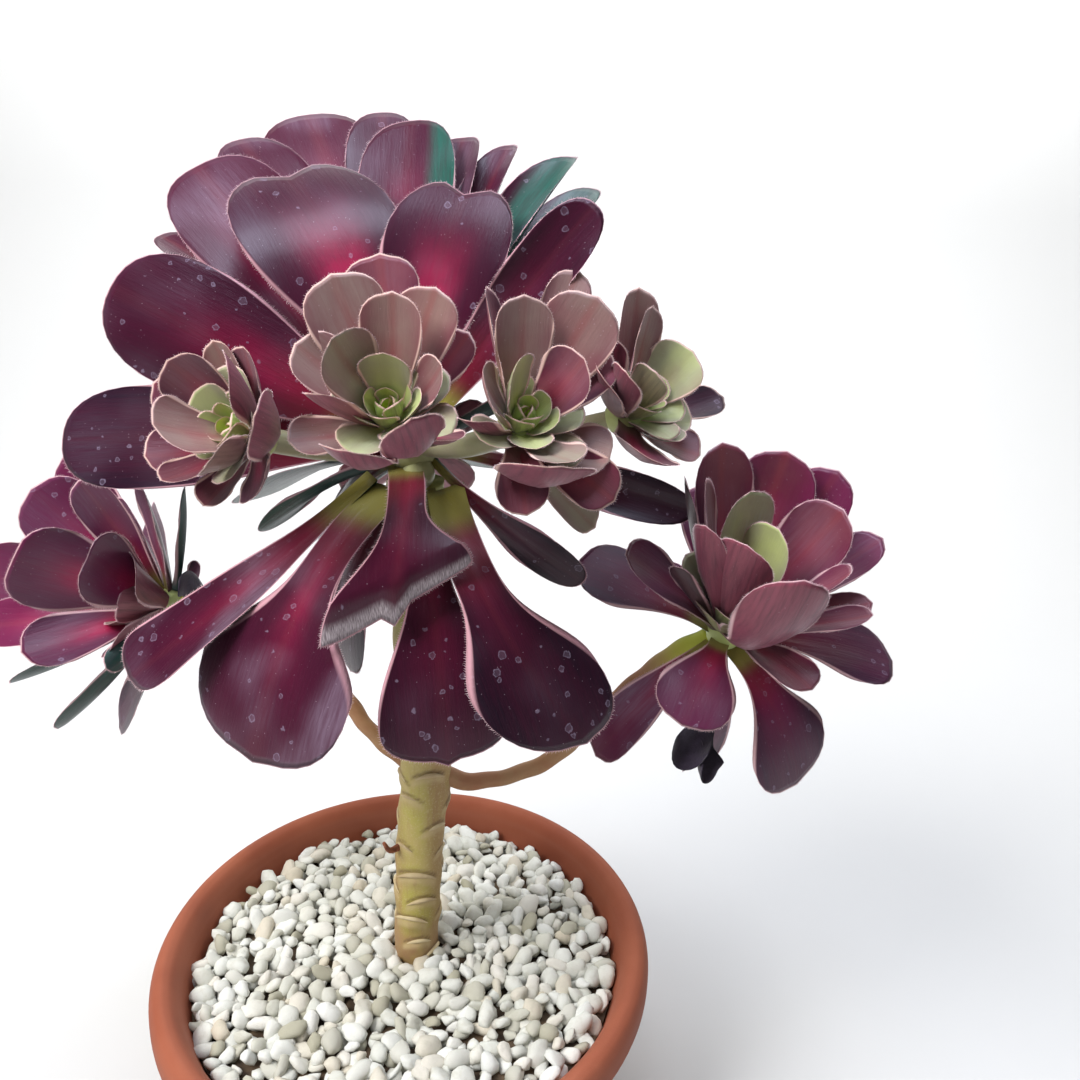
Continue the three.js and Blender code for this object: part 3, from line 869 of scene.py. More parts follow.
def hair_tree() -> Tree:
    """Geometry nodes that stand fine tapered hairs along lines.

    Returns:
        The node group.
    """
    values = {"Geometry": "Geometry", "Spacing": 0.0007, "Radius": 0.0001, "Splay": 0.5}
    sketch = Group.start(
        "margin_hairs", "Geometry", {**values, "Seed": 1, "Finish": "Material"}, {"Geometry": "Geometry"}
    )
    inputs = sketch.inputs
    curve = sketch.add("GeometryNodeMeshToCurve", {0: inputs["Geometry"]}).outputs[0]
    spaced = {"Curve": curve, "Length": inputs["Spacing"]}
    points = sketch.add("GeometryNodeResampleCurve", spaced, mode="LENGTH").outputs[0]
    stray = sketch.chance((-1.0, -1.0, -1.0), (1.0, 1.0, 1.0), inputs["Seed"])
    outward = sketch.named("outward", "FLOAT_VECTOR")
    splayed = {0: outward, 1: sketch.scaled(stray, inputs["Splay"])}
    aim = sketch.add("ShaderNodeVectorMath", splayed).outputs[0]
    turn = sketch.add("FunctionNodeAlignRotationToVector", {"Vector": aim}, axis="Z").outputs[0]
    tall = sketch.product(sketch.named("hair", "FLOAT"), sketch.chance(0.5, 1.15, inputs["Seed"]))
    size = sketch.add("ShaderNodeCombineXYZ", {0: 1.0, 1: 1.0, 2: tall}).outputs[0]
    shape = {"Vertices": 3, "Radius Top": 0.0, "Radius Bottom": inputs["Radius"], "Depth": MM}
    cone = sketch.add("GeometryNodeMeshCone", shape).outputs[0]
    hairs = sketch.realized(sketch.planted(points, cone, turn, size))
    return sketch.close(sketch.coated(hairs, inputs["Finish"], smooth=False))


# ---------------------------------------------------------------- rosettes


@dataclass(frozen=True)
class BudRule:
    """Young leaves that spiral out of the middle, opening and growing as they go."""

    count: int
    length: tuple[float, float]
    width: tuple[float, float]
    open: float
    start: float
    seed: int
    age: tuple[float, float] = (0.0, 0.3)


@dataclass
class Rosette:
    """A head of leaves: placed ones from their rows, young ones from the bud rule."""

    name: str
    slot: str
    base: Triple
    axis: Triple
    habit: Habit
    rows: list[LeafRow]
    core: float
    stalk: float
    bud: BudRule | None
    detail: tuple[int, int] = (12, 18)
    hair: float = 0.6

    def placed(self) -> list[Leaf]:
        """Leaves from their rows.

        Returns:
            The leaves.
        """
        base, axis = np.array(self.base, float), unit(self.axis)
        leaves = []
        for i, row in enumerate(self.rows):
            shape = replace(self.habit.value, **row.own)
            line = direction(row.azimuth, row.rise)
            leaves.append(
                Leaf.facing(
                    base + line * shape.inset + np.array([shape.aside, 0, 0]),
                    line,
                    axis,
                    row.turn,
                    length=row.reach - shape.inset,
                    width=row.width,
                    shape=shape,
                    tone=row.tone.value,
                    seed=i + 17.3 * len(self.name) + base[0],
                )
            )
        return leaves

    def spiral(self) -> list[Leaf]:
        """Leaves from the bud rule.

        Returns:
            The young leaves of the bud.
        """
        if self.bud is None:
            return []
        bud, base, axis = self.bud, np.array(self.base, float), unit(self.axis)
        across = unit(np.cross(axis, [0, 0, 1]))
        upward = np.cross(across, axis)
        leaves = []
        for i in range(bud.count):
            age = i / (bud.count - 1)
            angle = math.radians(bud.start + GOLDEN_ANGLE * i)
            outward = across * math.cos(angle) + upward * math.sin(angle)
            lean = math.radians(4 + (bud.open - 4) * age**0.9 + 8 * (scatter(i, bud.seed) - 0.5))
            grow = [0.94 + 0.12 * scatter(i, bud.seed + k) for k in (1, 2)]
            shape = replace(
                Habit.BUD.value, cup=0.3 * (1.2 - 0.5 * age), arch=-0.14 + 0.16 * age, curl=-0.06 * age
            )
            low, high = bud.age
            leaves.append(
                Leaf.facing(
                    base + axis * (6 - 5 * age) + outward * 3 * (0.25 + 0.45 * age),
                    axis * math.cos(lean) + outward * math.sin(lean),
                    axis * math.sin(lean) - outward * math.cos(lean),
                    20 * (scatter(i, bud.seed + 3) - 0.5),
                    length=float(np.interp(age, [0, 1], bud.length)) * grow[0],
                    width=float(np.interp(age, [0, 1], bud.width)) * grow[1],
                    shape=shape,
                    tone=LeafTone(low + (high - low) * age, bloom_and_sheen=0.15),
                    seed=i + 100 * bud.seed,
                )
            )
        return leaves

    def centre(self, body: LeafMesh) -> None:
        """Adds the core of the head and the stalk that carries it.

        Args:
            body: Mesh of the head.
        """
        body.add_rings(ball_rings(self.base, self.core), LeafTone(0.2))
        if self.stalk:
            sag = [(a + b) / 2 - (3 if k == 2 else 0) for k, (a, b) in enumerate(zip(CROWN, self.base))]
            stalk = Limb([CROWN, sag, self.base], [self.stalk * 0.9] * 3, sides=16, steps=16)
            body.add_rings(stalk.rings(), LeafTone(0.34, dark=0.4, bloom_and_sheen=0.0))

    def build(self, leaf_finish: Material, hair_finish: Material, hairs: Tree) -> None:
        """Builds the leaves and their hairs.

        Args:
            leaf_finish: Material of the leaves.
            hair_finish: Material of the hairs.
            hairs: Geometry node tree of the hairs.
        """
        body, margin = LeafMesh(), Margin()
        self.centre(body)
        columns, rows = self.detail
        for item in self.placed():
            margin.add(body.add_leaf(item, columns, rows), self.hair)
        for item in self.spiral():
            blade = body.add_leaf(item, columns - 4, rows - 6)
            if item.length > 10:
                margin.add(blade, self.hair * 0.7)
        finish_piece(body.build(self.name + "_leaves", leaf_finish), self.slot, self.name)
        inputs = {"Seed": len(self.name), "Finish": hair_finish, "Splay": 0.55}
        inputs |= {"Spacing": 0.75 * MM, "Radius": 0.085 * MM}
        finish_piece(grown(self.name + "_cilia", margin.guide(), hairs, inputs), self.slot)


@dataclass
class Crown(Rosette):
    """The large head, with a skirt of hanging leaves just below it."""

    skirt: list[LeafRow] = field(default_factory=list)

    def placed(self) -> list[Leaf]:
        """Leaves of the crown and of the skirt."""
        skirt = replace(self, base=SKIRT, axis=SKIRT_AXIS, habit=Habit.SKIRT, rows=self.skirt, skirt=[])
        return Rosette.placed(self) + Rosette.placed(skirt)

    def centre(self, body: LeafMesh) -> None:
        """Adds the swollen top of the trunk that carries all the heads."""
        body.add_rings(ball_rings(CROWN, self.core), LeafTone(0.3, dark=0.5))
        body.add_rings(ball_rings(SKIRT, self.core - 4), LeafTone(0.3, dark=0.3))


def ball_rings(centre: Sequence[float], radius: float, sides: int = 20, count: int = 10) -> np.ndarray:
    """Rings of points of a ball, open only by a tiny flat at each pole.

    Args:
        centre: Middle of the ball.
        radius: Its radius.
        sides: Points in a ring.
        count: Steps from pole to pole.

    Returns:
        Points by ring and side.
    """
    polar = math.pi * (0.02 + 0.96 * np.arange(count + 1) / count)[:, None]
    angles = 2 * np.pi * np.arange(sides) / sides
    waist, rise = np.sin(polar), -np.cos(polar) * np.ones(sides)
    places = np.stack([waist * np.cos(angles), waist * np.sin(angles), rise], axis=2)
    return np.asarray(centre) + radius * places


# ---------------------------------------------------------------- where each leaf grows

CROWN = (5.0, -10.0, 312.0)
SKIRT = (8.0, -14.0, 302.0)
CROWN_AXIS = (0.0, -0.5, 0.87)
SKIRT_AXIS = (0.0, -0.35, 0.93)

CROWN_LEAVES = [
    leaf(154, 61, 111, 58, 0, Tone.HEART, notch=0.2, arch=0.12, curl=-0.08, cup=-0.05, cap=0.3, fullness=2.4),
    leaf(-170, 28, 110, 43, -45, Tone.WINE, curl=-0.05, cup=-0.15, fullness=1.7),
    leaf(158, 46, 130, 43, -15, Tone.CORAL, cup=0.12),
    leaf(143, 49, 141, 34, 0, Tone.CORAL, cup=0.1),
    leaf(125, 53, 149, 50, 0, Tone.CORAL),
    leaf(98, 64, 128, 38, -10, Tone.EDGED, cup=0.1),
    leaf(33, 77, 93, 45, 0, Tone.HEART, notch=0.2, arch=0.1, curl=-0.06, fullness=2.4, cap=0.3),
    leaf(107, 58, 142, 31, 0, Tone.DUSK, cup=0.1),
    leaf(77, 63, 123, 26, -15, Tone.DUSK, cup=0.4),
    leaf(55, 63, 119, 21, -20, Tone.DUSK, cup=0.4),
    leaf(26, 59, 117, 23, -20, Tone.TEAL, cup=0.5),
    leaf(-4, 53, 103, 21, 38, Tone.SPOTTED, cup=0.25, neck=0.3, fullness=1.4),
    leaf(35, 50, 120, 22, -10, Tone.TEAL, cup=0.3),
    leaf(27, 41, 87, 22, 0, Tone.DUSK, cup=0.2),
    leaf(155, 31, 136, 19, 0, Tone.DUSK, cup=0.2),
    # The DARK rows are leaves under or behind others; their darkness is partly painted shade.
    leaf(-178, -1, 124, 38, -35, Tone.DARK, fullness=1.5),
    leaf(146, -42, 71, 35, 0, Tone.DARK),
    leaf(162, -32, 78, 15, 50, Tone.DARK),
    leaf(11, -14, 113, 19, 60, Tone.DARK, cup=0.5, arch=-0.12),
    leaf(-9, -36, 80, 16, 70, Tone.DARK),
    leaf(25, 15, 100, 50, -60, Tone.WINE),
    leaf(62, 30, 104, 54, -30, Tone.WINE),
    leaf(95, 18, 106, 56, 0, Tone.WINE),
    leaf(128, 34, 102, 52, 15, Tone.HEART),
    leaf(160, 10, 100, 50, 50, Tone.WINE),
    leaf(45, -8, 96, 46, -30, Tone.SPOTTED),
    leaf(82, -16, 98, 50, 0, Tone.DARK),
    leaf(118, -6, 98, 48, 15, Tone.SPOTTED),
    leaf(150, -22, 90, 42, 30, Tone.DARK),
]
SKIRT_LEAVES = [
    leaf(
        -150, -36, 107, 29, 0, Tone.SILVER,
        cup=0.2, arch=0.05, cap=0.12, sway=-0.08, inset=2, aside=-15, fullness=2.6,
    ),
    leaf(-122, -49, 108, 59, 0, Tone.SILVER, fullness=14, cap=0.25, sway=0.01, aside=-7),
    leaf(-73, -54, 101, 42, 0, Tone.SPOTTED, fullness=6, cap=0.12, point=0.14),
    leaf(-45, -44, 107, 44, 0, Tone.DARK, neck=0.34, fullness=12, cap=0.22, sway=0.13, aside=7),
    leaf(
        -84, -20, 64, 45, 3, Tone.HEMMED,
        neck=0.28, fullness=20, cap=0.03, arch=0.08, curl=-0.08, slant=0.14, point=1.8,
        sway=-0.05, inset=-8, aside=-6, fold=-60, fold_at=0.9,
    ),
    leaf(-158, -70, 78, 26, 20, Tone.DARK, fullness=2.3),
]
FRONT_LEAVES = [
    leaf(180, 68, 46, 25, 0, Tone.TAUPE, arch=0, cup=0.15),
    leaf(-76, 81, 39, 19, 0, Tone.TAUPE, arch=0, cup=0.3),
    leaf(9, 72, 42, 21, 0, Tone.TAUPE, arch=0, cup=0.1),
    leaf(111, 71, 52, 24, 0, Tone.MAUVE, arch=0),
    leaf(20, 49, 36, 15, 0, Tone.MAUVE),
    leaf(-163, 40, 36, 19, 0, Tone.TAUPE, arch=0),
    leaf(-127, 49, 34, 21, 0, Tone.OLIVE),
    leaf(-90, 58, 26, 16, 0, Tone.FRESH),
    leaf(-37, 43, 28, 15, 0, Tone.TAUPE),
    leaf(-125, 20, 34, 12, 50, Tone.TAUPE),
    leaf(-149, -6, 32, 15, 0, Tone.TAUPE),
    leaf(-98, -2, 40, 21, 0, Tone.MAUVE, arch=-0.2),
    leaf(-74, 10, 47, 19, 0, Tone.MAUVE, arch=-0.2),
    leaf(-51, 1, 36, 12, -30, Tone.ROSE),
]
RIGHT_LEAVES = [
    leaf(-158, 76, 44, 11, 40, Tone.ROSE, arch=0),
    leaf(-73, 84, 41, 19, 0, Tone.TAUPE, arch=0),
    leaf(5, 60, 47, 25, 0, Tone.TAUPE, arch=0, cup=0.1),
    leaf(56, 57, 58, 16, 0, Tone.TAUPE, arch=0),
    leaf(-32, 46, 33, 20, 0, Tone.MAUVE),
    leaf(0, 42, 37, 18, 0, Tone.MAUVE, curl=-0.1),
    leaf(-58, -6, 33, 16, 0, Tone.OLIVE),
    leaf(-21, -12, 31, 23, 0, Tone.TAUPE),
    leaf(-74, -2, 48, 28, 0, Tone.MAUVE, arch=-0.2),
    leaf(-82, -30, 37, 16, 25, Tone.MAUVE, arch=0.05),
    leaf(-117, 13, 30, 12, 40, Tone.ROSE),
    leaf(-115, 42, 30, 14, 0, Tone.TAUPE),
    leaf(-87, 52, 30, 15, 0, Tone.FRESH),
    leaf(-25, -28, 38, 18, 20, Tone.MAUVE, arch=0.05),
    leaf(13, -50, 42, 17, 0, Tone.OLIVE),
]
LEFT_LEAVES = [
    leaf(-161, 45, 34, 20, 0, Tone.MAUVE),
    leaf(176, 26, 36, 16, 0, Tone.ROSE),
    leaf(-132, 13, 33, 24, 0, Tone.TAUPE),
    leaf(-154, -7, 33, 18, 0, Tone.MAUVE),
    leaf(-130, -16, 33, 16, 0, Tone.MAUVE),
    leaf(-132, -45, 27, 16, 0, Tone.MAUVE),
    leaf(-83, 40, 40, 19, 0, Tone.MAUVE),
    leaf(-169, 70, 32, 14, 0, Tone.TAUPE),
    leaf(-86, 75, 30, 14, 0, Tone.MAUVE),
    leaf(-71, 18, 40, 21, 0, Tone.MAUVE, arch=-0.15),
    leaf(-73, -18, 35, 15, 0, Tone.ROSE),
    leaf(-90, 0, 40, 15, 0, Tone.OLIVE),
]
OUTER_LEAVES = [
    leaf(0, 87, 42, 19, 0, Tone.TAUPE, arch=0),
    leaf(-17, 79, 37, 15, 20, Tone.TAUPE, arch=0),
    leaf(-112, 57, 32, 10, 50, Tone.ROSE),
    leaf(-96, 27, 40, 14, 0, Tone.ROSE),
    leaf(-110, 28, 36, 19, 0, Tone.ROSE),
    leaf(-79, -12, 39, 22, 0, Tone.ROSE, arch=-0.1),
    leaf(-9, -24, 29, 19, 0, Tone.MAUVE),
    leaf(-70, 39, 27, 14, 0, Tone.ICE),
    leaf(0, 46, 31, 21, 0, Tone.ICE),
    leaf(0, 1, 23, 18, 0, Tone.ICE),
    leaf(-43, -12, 24, 15, 0, Tone.ICE),
    leaf(32, 6, 45, 14, 0, Tone.DARK),
    leaf(137, 61, 36, 19, 0, Tone.MAUVE),
]
BRANCH_RIGHT_LEAVES = [
    leaf(165, 84, 72, 25, 0, Tone.MAUVE),
    leaf(24, 74, 71, 30, 0, Tone.ROSE),
    leaf(15, 57, 73, 26, 0, Tone.DUSK),
    leaf(-16, 55, 63, 28, 0, Tone.MAUVE),
    leaf(2, 35, 67, 19, 0, Tone.DUSK),
    leaf(-90, 74, 61, 26, 0, Tone.ICE, fullness=3),
    leaf(-67, 63, 53, 22, 0, Tone.FRESH),
    leaf(-174, 71, 63, 17, 40, Tone.DUSK),
    leaf(-141, 73, 64, 16, 20, Tone.TAUPE),
    leaf(-117, 52, 65, 15, 30, Tone.MAUVE),
    leaf(-98, 47, 65, 22, 0, Tone.MAUVE),
    leaf(-82, 35, 72, 28, 0, Tone.MAUVE, cup=0.3, arch=-0.16),
    leaf(-52, 38, 61, 21, 0, Tone.MAUVE),
    leaf(-9, 18, 54, 15, 0, Tone.MAUVE),
    leaf(-33, 21, 55, 13, 0, Tone.MAUVE),
    leaf(2, -9, 67, 31, 0, Tone.DARK, cup=0, arch=0.06, fullness=4),
    leaf(-32, -57, 63, 40, 0, Tone.DARK, cup=0, arch=0.12, fullness=5),
    leaf(-55, -8, 42, 19, 0, Tone.MAUVE, arch=0.06),
    leaf(-118, -24, 47, 28, 0, Tone.WINE, cup=0, arch=0.12, fullness=3.5),
    leaf(-156, 38, 57, 25, 0, Tone.DUSK, arch=0.03),
    leaf(168, 22, 61, 31, 0, Tone.DARK, cup=0, arch=0.03, fullness=3.5),
    leaf(-171, -47, 69, 20, 0, Tone.SILVER, arch=0.1),
    leaf(98, -73, 77, 17, 0, Tone.DARK, arch=0.1),
    leaf(-137, 44, 48, 8, 60, Tone.DUSK),
    leaf(95, 50, 62, 27, 0, Tone.DUSK),
    leaf(60, 22, 58, 27, 0, Tone.WINE),
    leaf(120, 10, 56, 27, 0, Tone.WINE),
]
BRANCH_LEFT_LEAVES = [
    leaf(154, 44, 76, 22, 30, Tone.WINE),
    leaf(-167, 62, 58, 18, 50, Tone.DUSK),
    leaf(171, 38, 70, 31, 40, Tone.WINE),
    leaf(-149, 27, 58, 33, 50, Tone.HEART, cup=-0.05, notch=0.1),
    leaf(-105, 39, 51, 27, 155, Tone.WINE, cup=0.05, notch=0.16),
    leaf(177, 6, 82, 31, 5, Tone.WINE),
    leaf(-171, -6, 74, 22, 5, Tone.CORAL),
    leaf(-138, -7, 53, 22, -45, Tone.HEART),
    leaf(-158, -24, 64, 18, 50, Tone.DARK),
    leaf(180, -48, 78, 15, 60, Tone.DARK),
    leaf(-103, -17, 39, 10, 60, Tone.SILVER),
    leaf(-94, 77, 54, 14, 10, Tone.DUSK),
    leaf(149, 55, 48, 15, 0, Tone.DUSK),
    leaf(0, 78, 50, 8, -30, Tone.DARK),
    leaf(152, -58, 80, 21, 0, Tone.DARK),
    leaf(-8, 50, 23, 11, 0, Tone.DARK),
    leaf(120, 20, 64, 26, 0, Tone.WINE),
    leaf(140, -15, 60, 24, 0, Tone.DARK),
]

OFFSET_HEAD = {"slot": "offset_leaf", "habit": Habit.OFFSET, "core": 7.0, "hair": 0.7}
BRANCH_HEAD = {"slot": "wine_leaf", "habit": Habit.BRANCH, "core": 7.0, "hair": 0.8, "detail": (12, 20)}

# Small heads on stalks from the crown: place, axis, rows, stalk radius and young leaves.
OFFSETS = {
    "front": (
        (6, -52, 326), (-0.02, -0.75, 0.66), FRONT_LEAVES, 4.5, BudRule(18, (6, 24), (5, 17), 60, 30, 1),
    ),
    "left": (
        (-40, -42, 318), (-0.5, -0.76, 0.4), LEFT_LEAVES, 4.5, BudRule(16, (6, 26), (5, 18), 55, 100, 3),
    ),
    "right": (
        (44, -46, 324), (0.25, -0.68, 0.69), RIGHT_LEAVES, 4.5, BudRule(18, (6, 24), (5, 17), 60, 64, 2),
    ),
    "outer": (
        (80, -20, 326), (0.45, -0.5, 0.74), OUTER_LEAVES, 3.5, BudRule(16, (6, 22), (5, 15), 60, 150, 4),
    ),
    "back": (
        (0, 38, 300), (-0.1, 0.86, 0.5), [], 4.5, BudRule(26, (6, 38), (5, 19), 82, 20, 7, (0.0, 0.72)),
    ),
}
# Medium heads at the ends of the branches, which carry them without a stalk.
BRANCH_HEADS = {
    "right": (
        (124, -12, 244), (0.12, -0.45, 0.88), BRANCH_RIGHT_LEAVES, 0.0,
        BudRule(16, (8, 30), (6, 20), 42, 150, 5),
    ),
    "left": (
        (-96, 6, 240), (-0.75, -0.6, 0.3), BRANCH_LEFT_LEAVES, 0.0,
        BudRule(14, (8, 34), (7, 20), 45, 150, 6, (0.1, 0.8)),
    ),
}


def all_heads() -> list[Rosette]:
    """Every head of the plant, the frontmost first.

    Returns:
        The heads.
    """
    heads = []
    for kind, common, places in (("offset", OFFSET_HEAD, OFFSETS), ("branch", BRANCH_HEAD, BRANCH_HEADS)):
        for side, (base, axis, rows, stalk, bud) in places.items():
            name = kind + "_rosette_" + side
            heads.append(Rosette(name, base=base, axis=axis, rows=rows, stalk=stalk, bud=bud, **common))
    crown = Crown(
        "mother_rosette", "wine_leaf", CROWN, CROWN_AXIS, Habit.CROWN, CROWN_LEAVES,
        core=10.0, stalk=0.0, bud=None, detail=(16, 26), hair=1.1, skirt=SKIRT_LEAVES,
    )
    return [*heads, crown]


# ---------------------------------------------------------------- stem

TRUNK_LINE = [(3, 0, 40), (3, 0, 80), (5, 0, 130), (8, 0, 179), (7, -4, 240), (6, -9, 298)]
TRUNK_RADII = [9.6, 9.6, 10, 11, 11.5, 10.5]
BRANCH_LINES = [
    ([(9, 0, 172), (30, 5, 164), (61, 14, 171), (91, 12, 206), (107, 2, 227), (121, -9, 241)],
     [4, 3.5, 3.3, 3.3, 3.6, 4.5]),
    ([(6, 0, 172), (-14, 3, 186), (-33, 10, 207), (-55, 14, 222), (-74, 12, 235), (-92, 7, 241)],
     [4, 3.3, 3.3, 3.3, 3.8, 5]),
]
# Height in mm, angle from the front in radians and half width in mm.
FRONT_SCARS = [
    (175.0, 0.3, 6.4), (163.5, -0.5, 5.6), (149.5, 0.75, 6.0), (139.0, -0.7, 4.6),
    (126.0, 0.0, 8.4), (113.0, 0.35, 6.6), (103.0, -0.2, 7.6), (92.0, 0.2, 6.0),
]
# A scar's arch, in shares of its half width: height of its top, and drop towards its ends.
ARCH_TOP, ARCH_DROP = 0.15, 0.4


def from_angle(angle: np.ndarray | float, other: float) -> np.ndarray | float:
    """Angle past another one, between minus and plus pi."""
    return (angle - other + math.pi) % (2 * math.pi) - math.pi


@dataclass
class Stem:
    """Trunk and two branches, with the crescent scars that old leaves left."""

    slot: str = "stem"
    scars: int = 22
    front: float = 62.0  # degrees each side, left to the scars placed one by one
    scar_top: float = 232.0  # mm
    scar_foot: float = 84.0  # mm
    bulge: float = 0.7  # mm

    def __post_init__(self) -> None:
        """Places the scars: height, angle and half width of each."""
        self.trunk = Limb(TRUNK_LINE, TRUNK_RADII, sides=64, steps=220)
        self.places = list(FRONT_SCARS)
        for i in range(self.scars):
            share = (i + 0.5 * (scatter(i, 2.2) - 0.5)) / self.scars
            height = self.scar_foot + (self.scar_top - self.scar_foot) * share
            angle = math.radians(self.front + (360 - 2 * self.front) * ((0.382 * i) % 1.0))
            self.places.append((height, angle, 5.0 + 2.6 * scatter(i, 5.9)))

    def scar_marks(self) -> dict[str, np.ndarray]:
        """Share of a scar's dark outline with painted crease shade, and of its pale face, at each point of
        the trunk.

        Returns:
            Both shares, by the name of their attribute.
        """
        trunk = self.trunk
        low, high = TRUNK_LINE[0][2], TRUNK_LINE[-1][2]
        height = np.repeat(np.linspace(low, high, trunk.steps + 1), trunk.sides)
        angle = np.tile(np.arange(trunk.sides) * 2 * math.pi / trunk.sides, trunk.steps + 1)
        outline_and_shade, face = np.zeros(len(height)), np.zeros(len(height))
        for z, a, half in self.places:
            across = from_angle(angle, a) * trunk.radii[0] / half
            rise = (height - z) / half - (ARCH_TOP - ARCH_DROP * across**2)
            inside = np.clip((1.15 - np.abs(across)) / 0.2, 0, 1)
            # Dark band just above each scar's arch: partly the scar's own outline, partly painted shade in
            # the crease.
            outline_and_shade = np.maximum(outline_and_shade, inside * np.exp(-(((rise - 0.16) / 0.12) ** 2)))
            face = np.maximum(face, inside * np.clip(rise / -0.15, 0, 1) * np.clip((rise + 0.7) / 0.3, 0, 1))
        return {"scar_edge": outline_and_shade, "scar_face": face}

    def swell(self, share: float, angle: float) -> float:
        """Extra radius of the trunk: slow waves, and a bulge under each scar.

        Args:
            share: Place along the trunk, from 0 to 1.
            angle: Angle round it in radians.

        Returns:
            The extra radius.
        """
        low, high = TRUNK_LINE[0][2], TRUNK_LINE[-1][2]
        height = low + (high - low) * share
        grow = 0.35 * math.sin(3 * angle + height * 0.09) + 0.3 * math.sin(height * 0.31 + angle)
        for z, a, _ in self.places:
            round_angle = from_angle(angle, a)
            grow += self.bulge * math.exp(-((round_angle / 0.5) ** 2) - ((height - z + 2.5) / 3) ** 2)
        return grow

    @staticmethod
    def branch_swell(share: float, angle: float) -> float:
        """Extra radius of a branch at its nodes."""
        return 0.25 * math.sin(share * 60 + angle) + 0.15 * math.sin(share * 23)

    def bark(self) -> Piece:
        """Trunk and branches as one mesh.

        Returns:
            The object.
        """
        points = [self.trunk.rings(self.swell).reshape(-1, 3)]
        faces = tube_faces(self.trunk.steps + 1, self.trunk.sides)
        layers = {"youth": [np.zeros(len(points[0]))]}
        layers |= {name: [shares] for name, shares in self.scar_marks().items()}
        for line, radii in BRANCH_LINES:
            branch = Limb(line, radii, sides=24, steps=90)
            faces += tube_faces(branch.steps + 1, branch.sides, sum(len(p) for p in points))
            points.append(branch.rings(self.branch_swell).reshape(-1, 3))
            for name, parts in layers.items():
                youth = np.repeat(np.linspace(0.25, 1, branch.steps + 1), branch.sides)
                parts.append(youth if name == "youth" else np.zeros(len(youth)))
        mesh = new_mesh("stem_bark", np.vstack(points), faces)
        for name, parts in layers.items():
            store(mesh, name, np.concatenate(parts))
        shade_smooth(mesh)
        return place_mesh("stem_bark", mesh)

    def scar_guide(self) -> Mesh:
        """One point for each scar, with the way it faces and its size.

        Returns:
            The mesh of points.
        """
        centres, radii, first, second = self.trunk.sections()
        points, outward = [], []
        for height, angle, _ in self.places:
            i = int(np.argmin(np.abs(centres[:, 2] - height)))
            out = first[i] * math.cos(angle) + second[i] * math.sin(angle)
            points.append(centres[i] + out * (radii[i] + 0.35))
            outward.append(out)
        mesh = new_mesh("scar_points", np.array(points))
        store(mesh, "outward", np.array(outward), "FLOAT_VECTOR")
        store(mesh, "half_width", np.array([half for _, _, half in self.places]))
        return mesh

    def build(self, bark: Material, scar: Material) -> None:
        """Builds the bark and the scars.

        Args:
            bark: Material of the trunk and branches.
            scar: Material of the scars.
        """
        skin = self.bark()
        skin.data.materials.append(bark)
        finish_piece(skin, self.slot, "stem")
        finish_piece(grown("leaf_scars", self.scar_guide(), scar_tree(), {"Finish": scar}), self.slot)


def scar_tree() -> Tree:
    """Geometry nodes that lay a crescent ridge on each point, round the trunk.

    Returns:
        The node group.
    """
    sketch = Group.start(
        "scar_crescents", "Geometry", {"Geometry": "Geometry", "Finish": "Material"}, {"Geometry": "Geometry"}
    )
    foot = ARCH_TOP - ARCH_DROP
    ends = {"Start": (-MM, foot * MM, -0.35 * MM), "End": (MM, foot * MM, -0.35 * MM)}
    arch = {"Resolution": 14, "Middle": (0, (2 * ARCH_TOP - foot) * MM, 0.3 * MM), **ends}
    curve = sketch.add("GeometryNodeCurveQuadraticBezier", arch).outputs[0]
    along = sketch.add("GeometryNodeSplineParameter").outputs[0]
    taper = sketch.math("ADD", sketch.math("SINE", sketch.math("MULTIPLY", along, math.pi)), 0.12)
    tapered = sketch.add("GeometryNodeSetCurveRadius", {"Curve": curve, "Radius": taper}).outputs[0]
    ring = sketch.add("GeometryNodeCurvePrimitiveCircle", {"Resolution": 8, "Radius": 0.13 * MM}).outputs[0]
    swept = {"Curve": tapered, "Profile Curve": ring, "Scale": taper, "Fill Caps": True}
    ridge = sketch.add("GeometryNodeCurveToMesh", swept).outputs[0]
    outward = {"Vector": sketch.named("outward", "FLOAT_VECTOR")}
    face = sketch.add("FunctionNodeAlignRotationToVector", outward, axis="Z").outputs[0]
    upright = {"Rotation": face, "Vector": (0.0, 0.0, 1.0)}
    rise = sketch.add("FunctionNodeAlignRotationToVector", upright, axis="Y", pivot_axis="Z").outputs[0]
    size = sketch.named("half_width", "FLOAT")
    marks = sketch.realized(sketch.planted(sketch.inputs["Geometry"], ridge, rise, size))
    return sketch.close(sketch.coated(marks, sketch.inputs["Finish"]))


# ---------------------------------------------------------------- pot and gravel


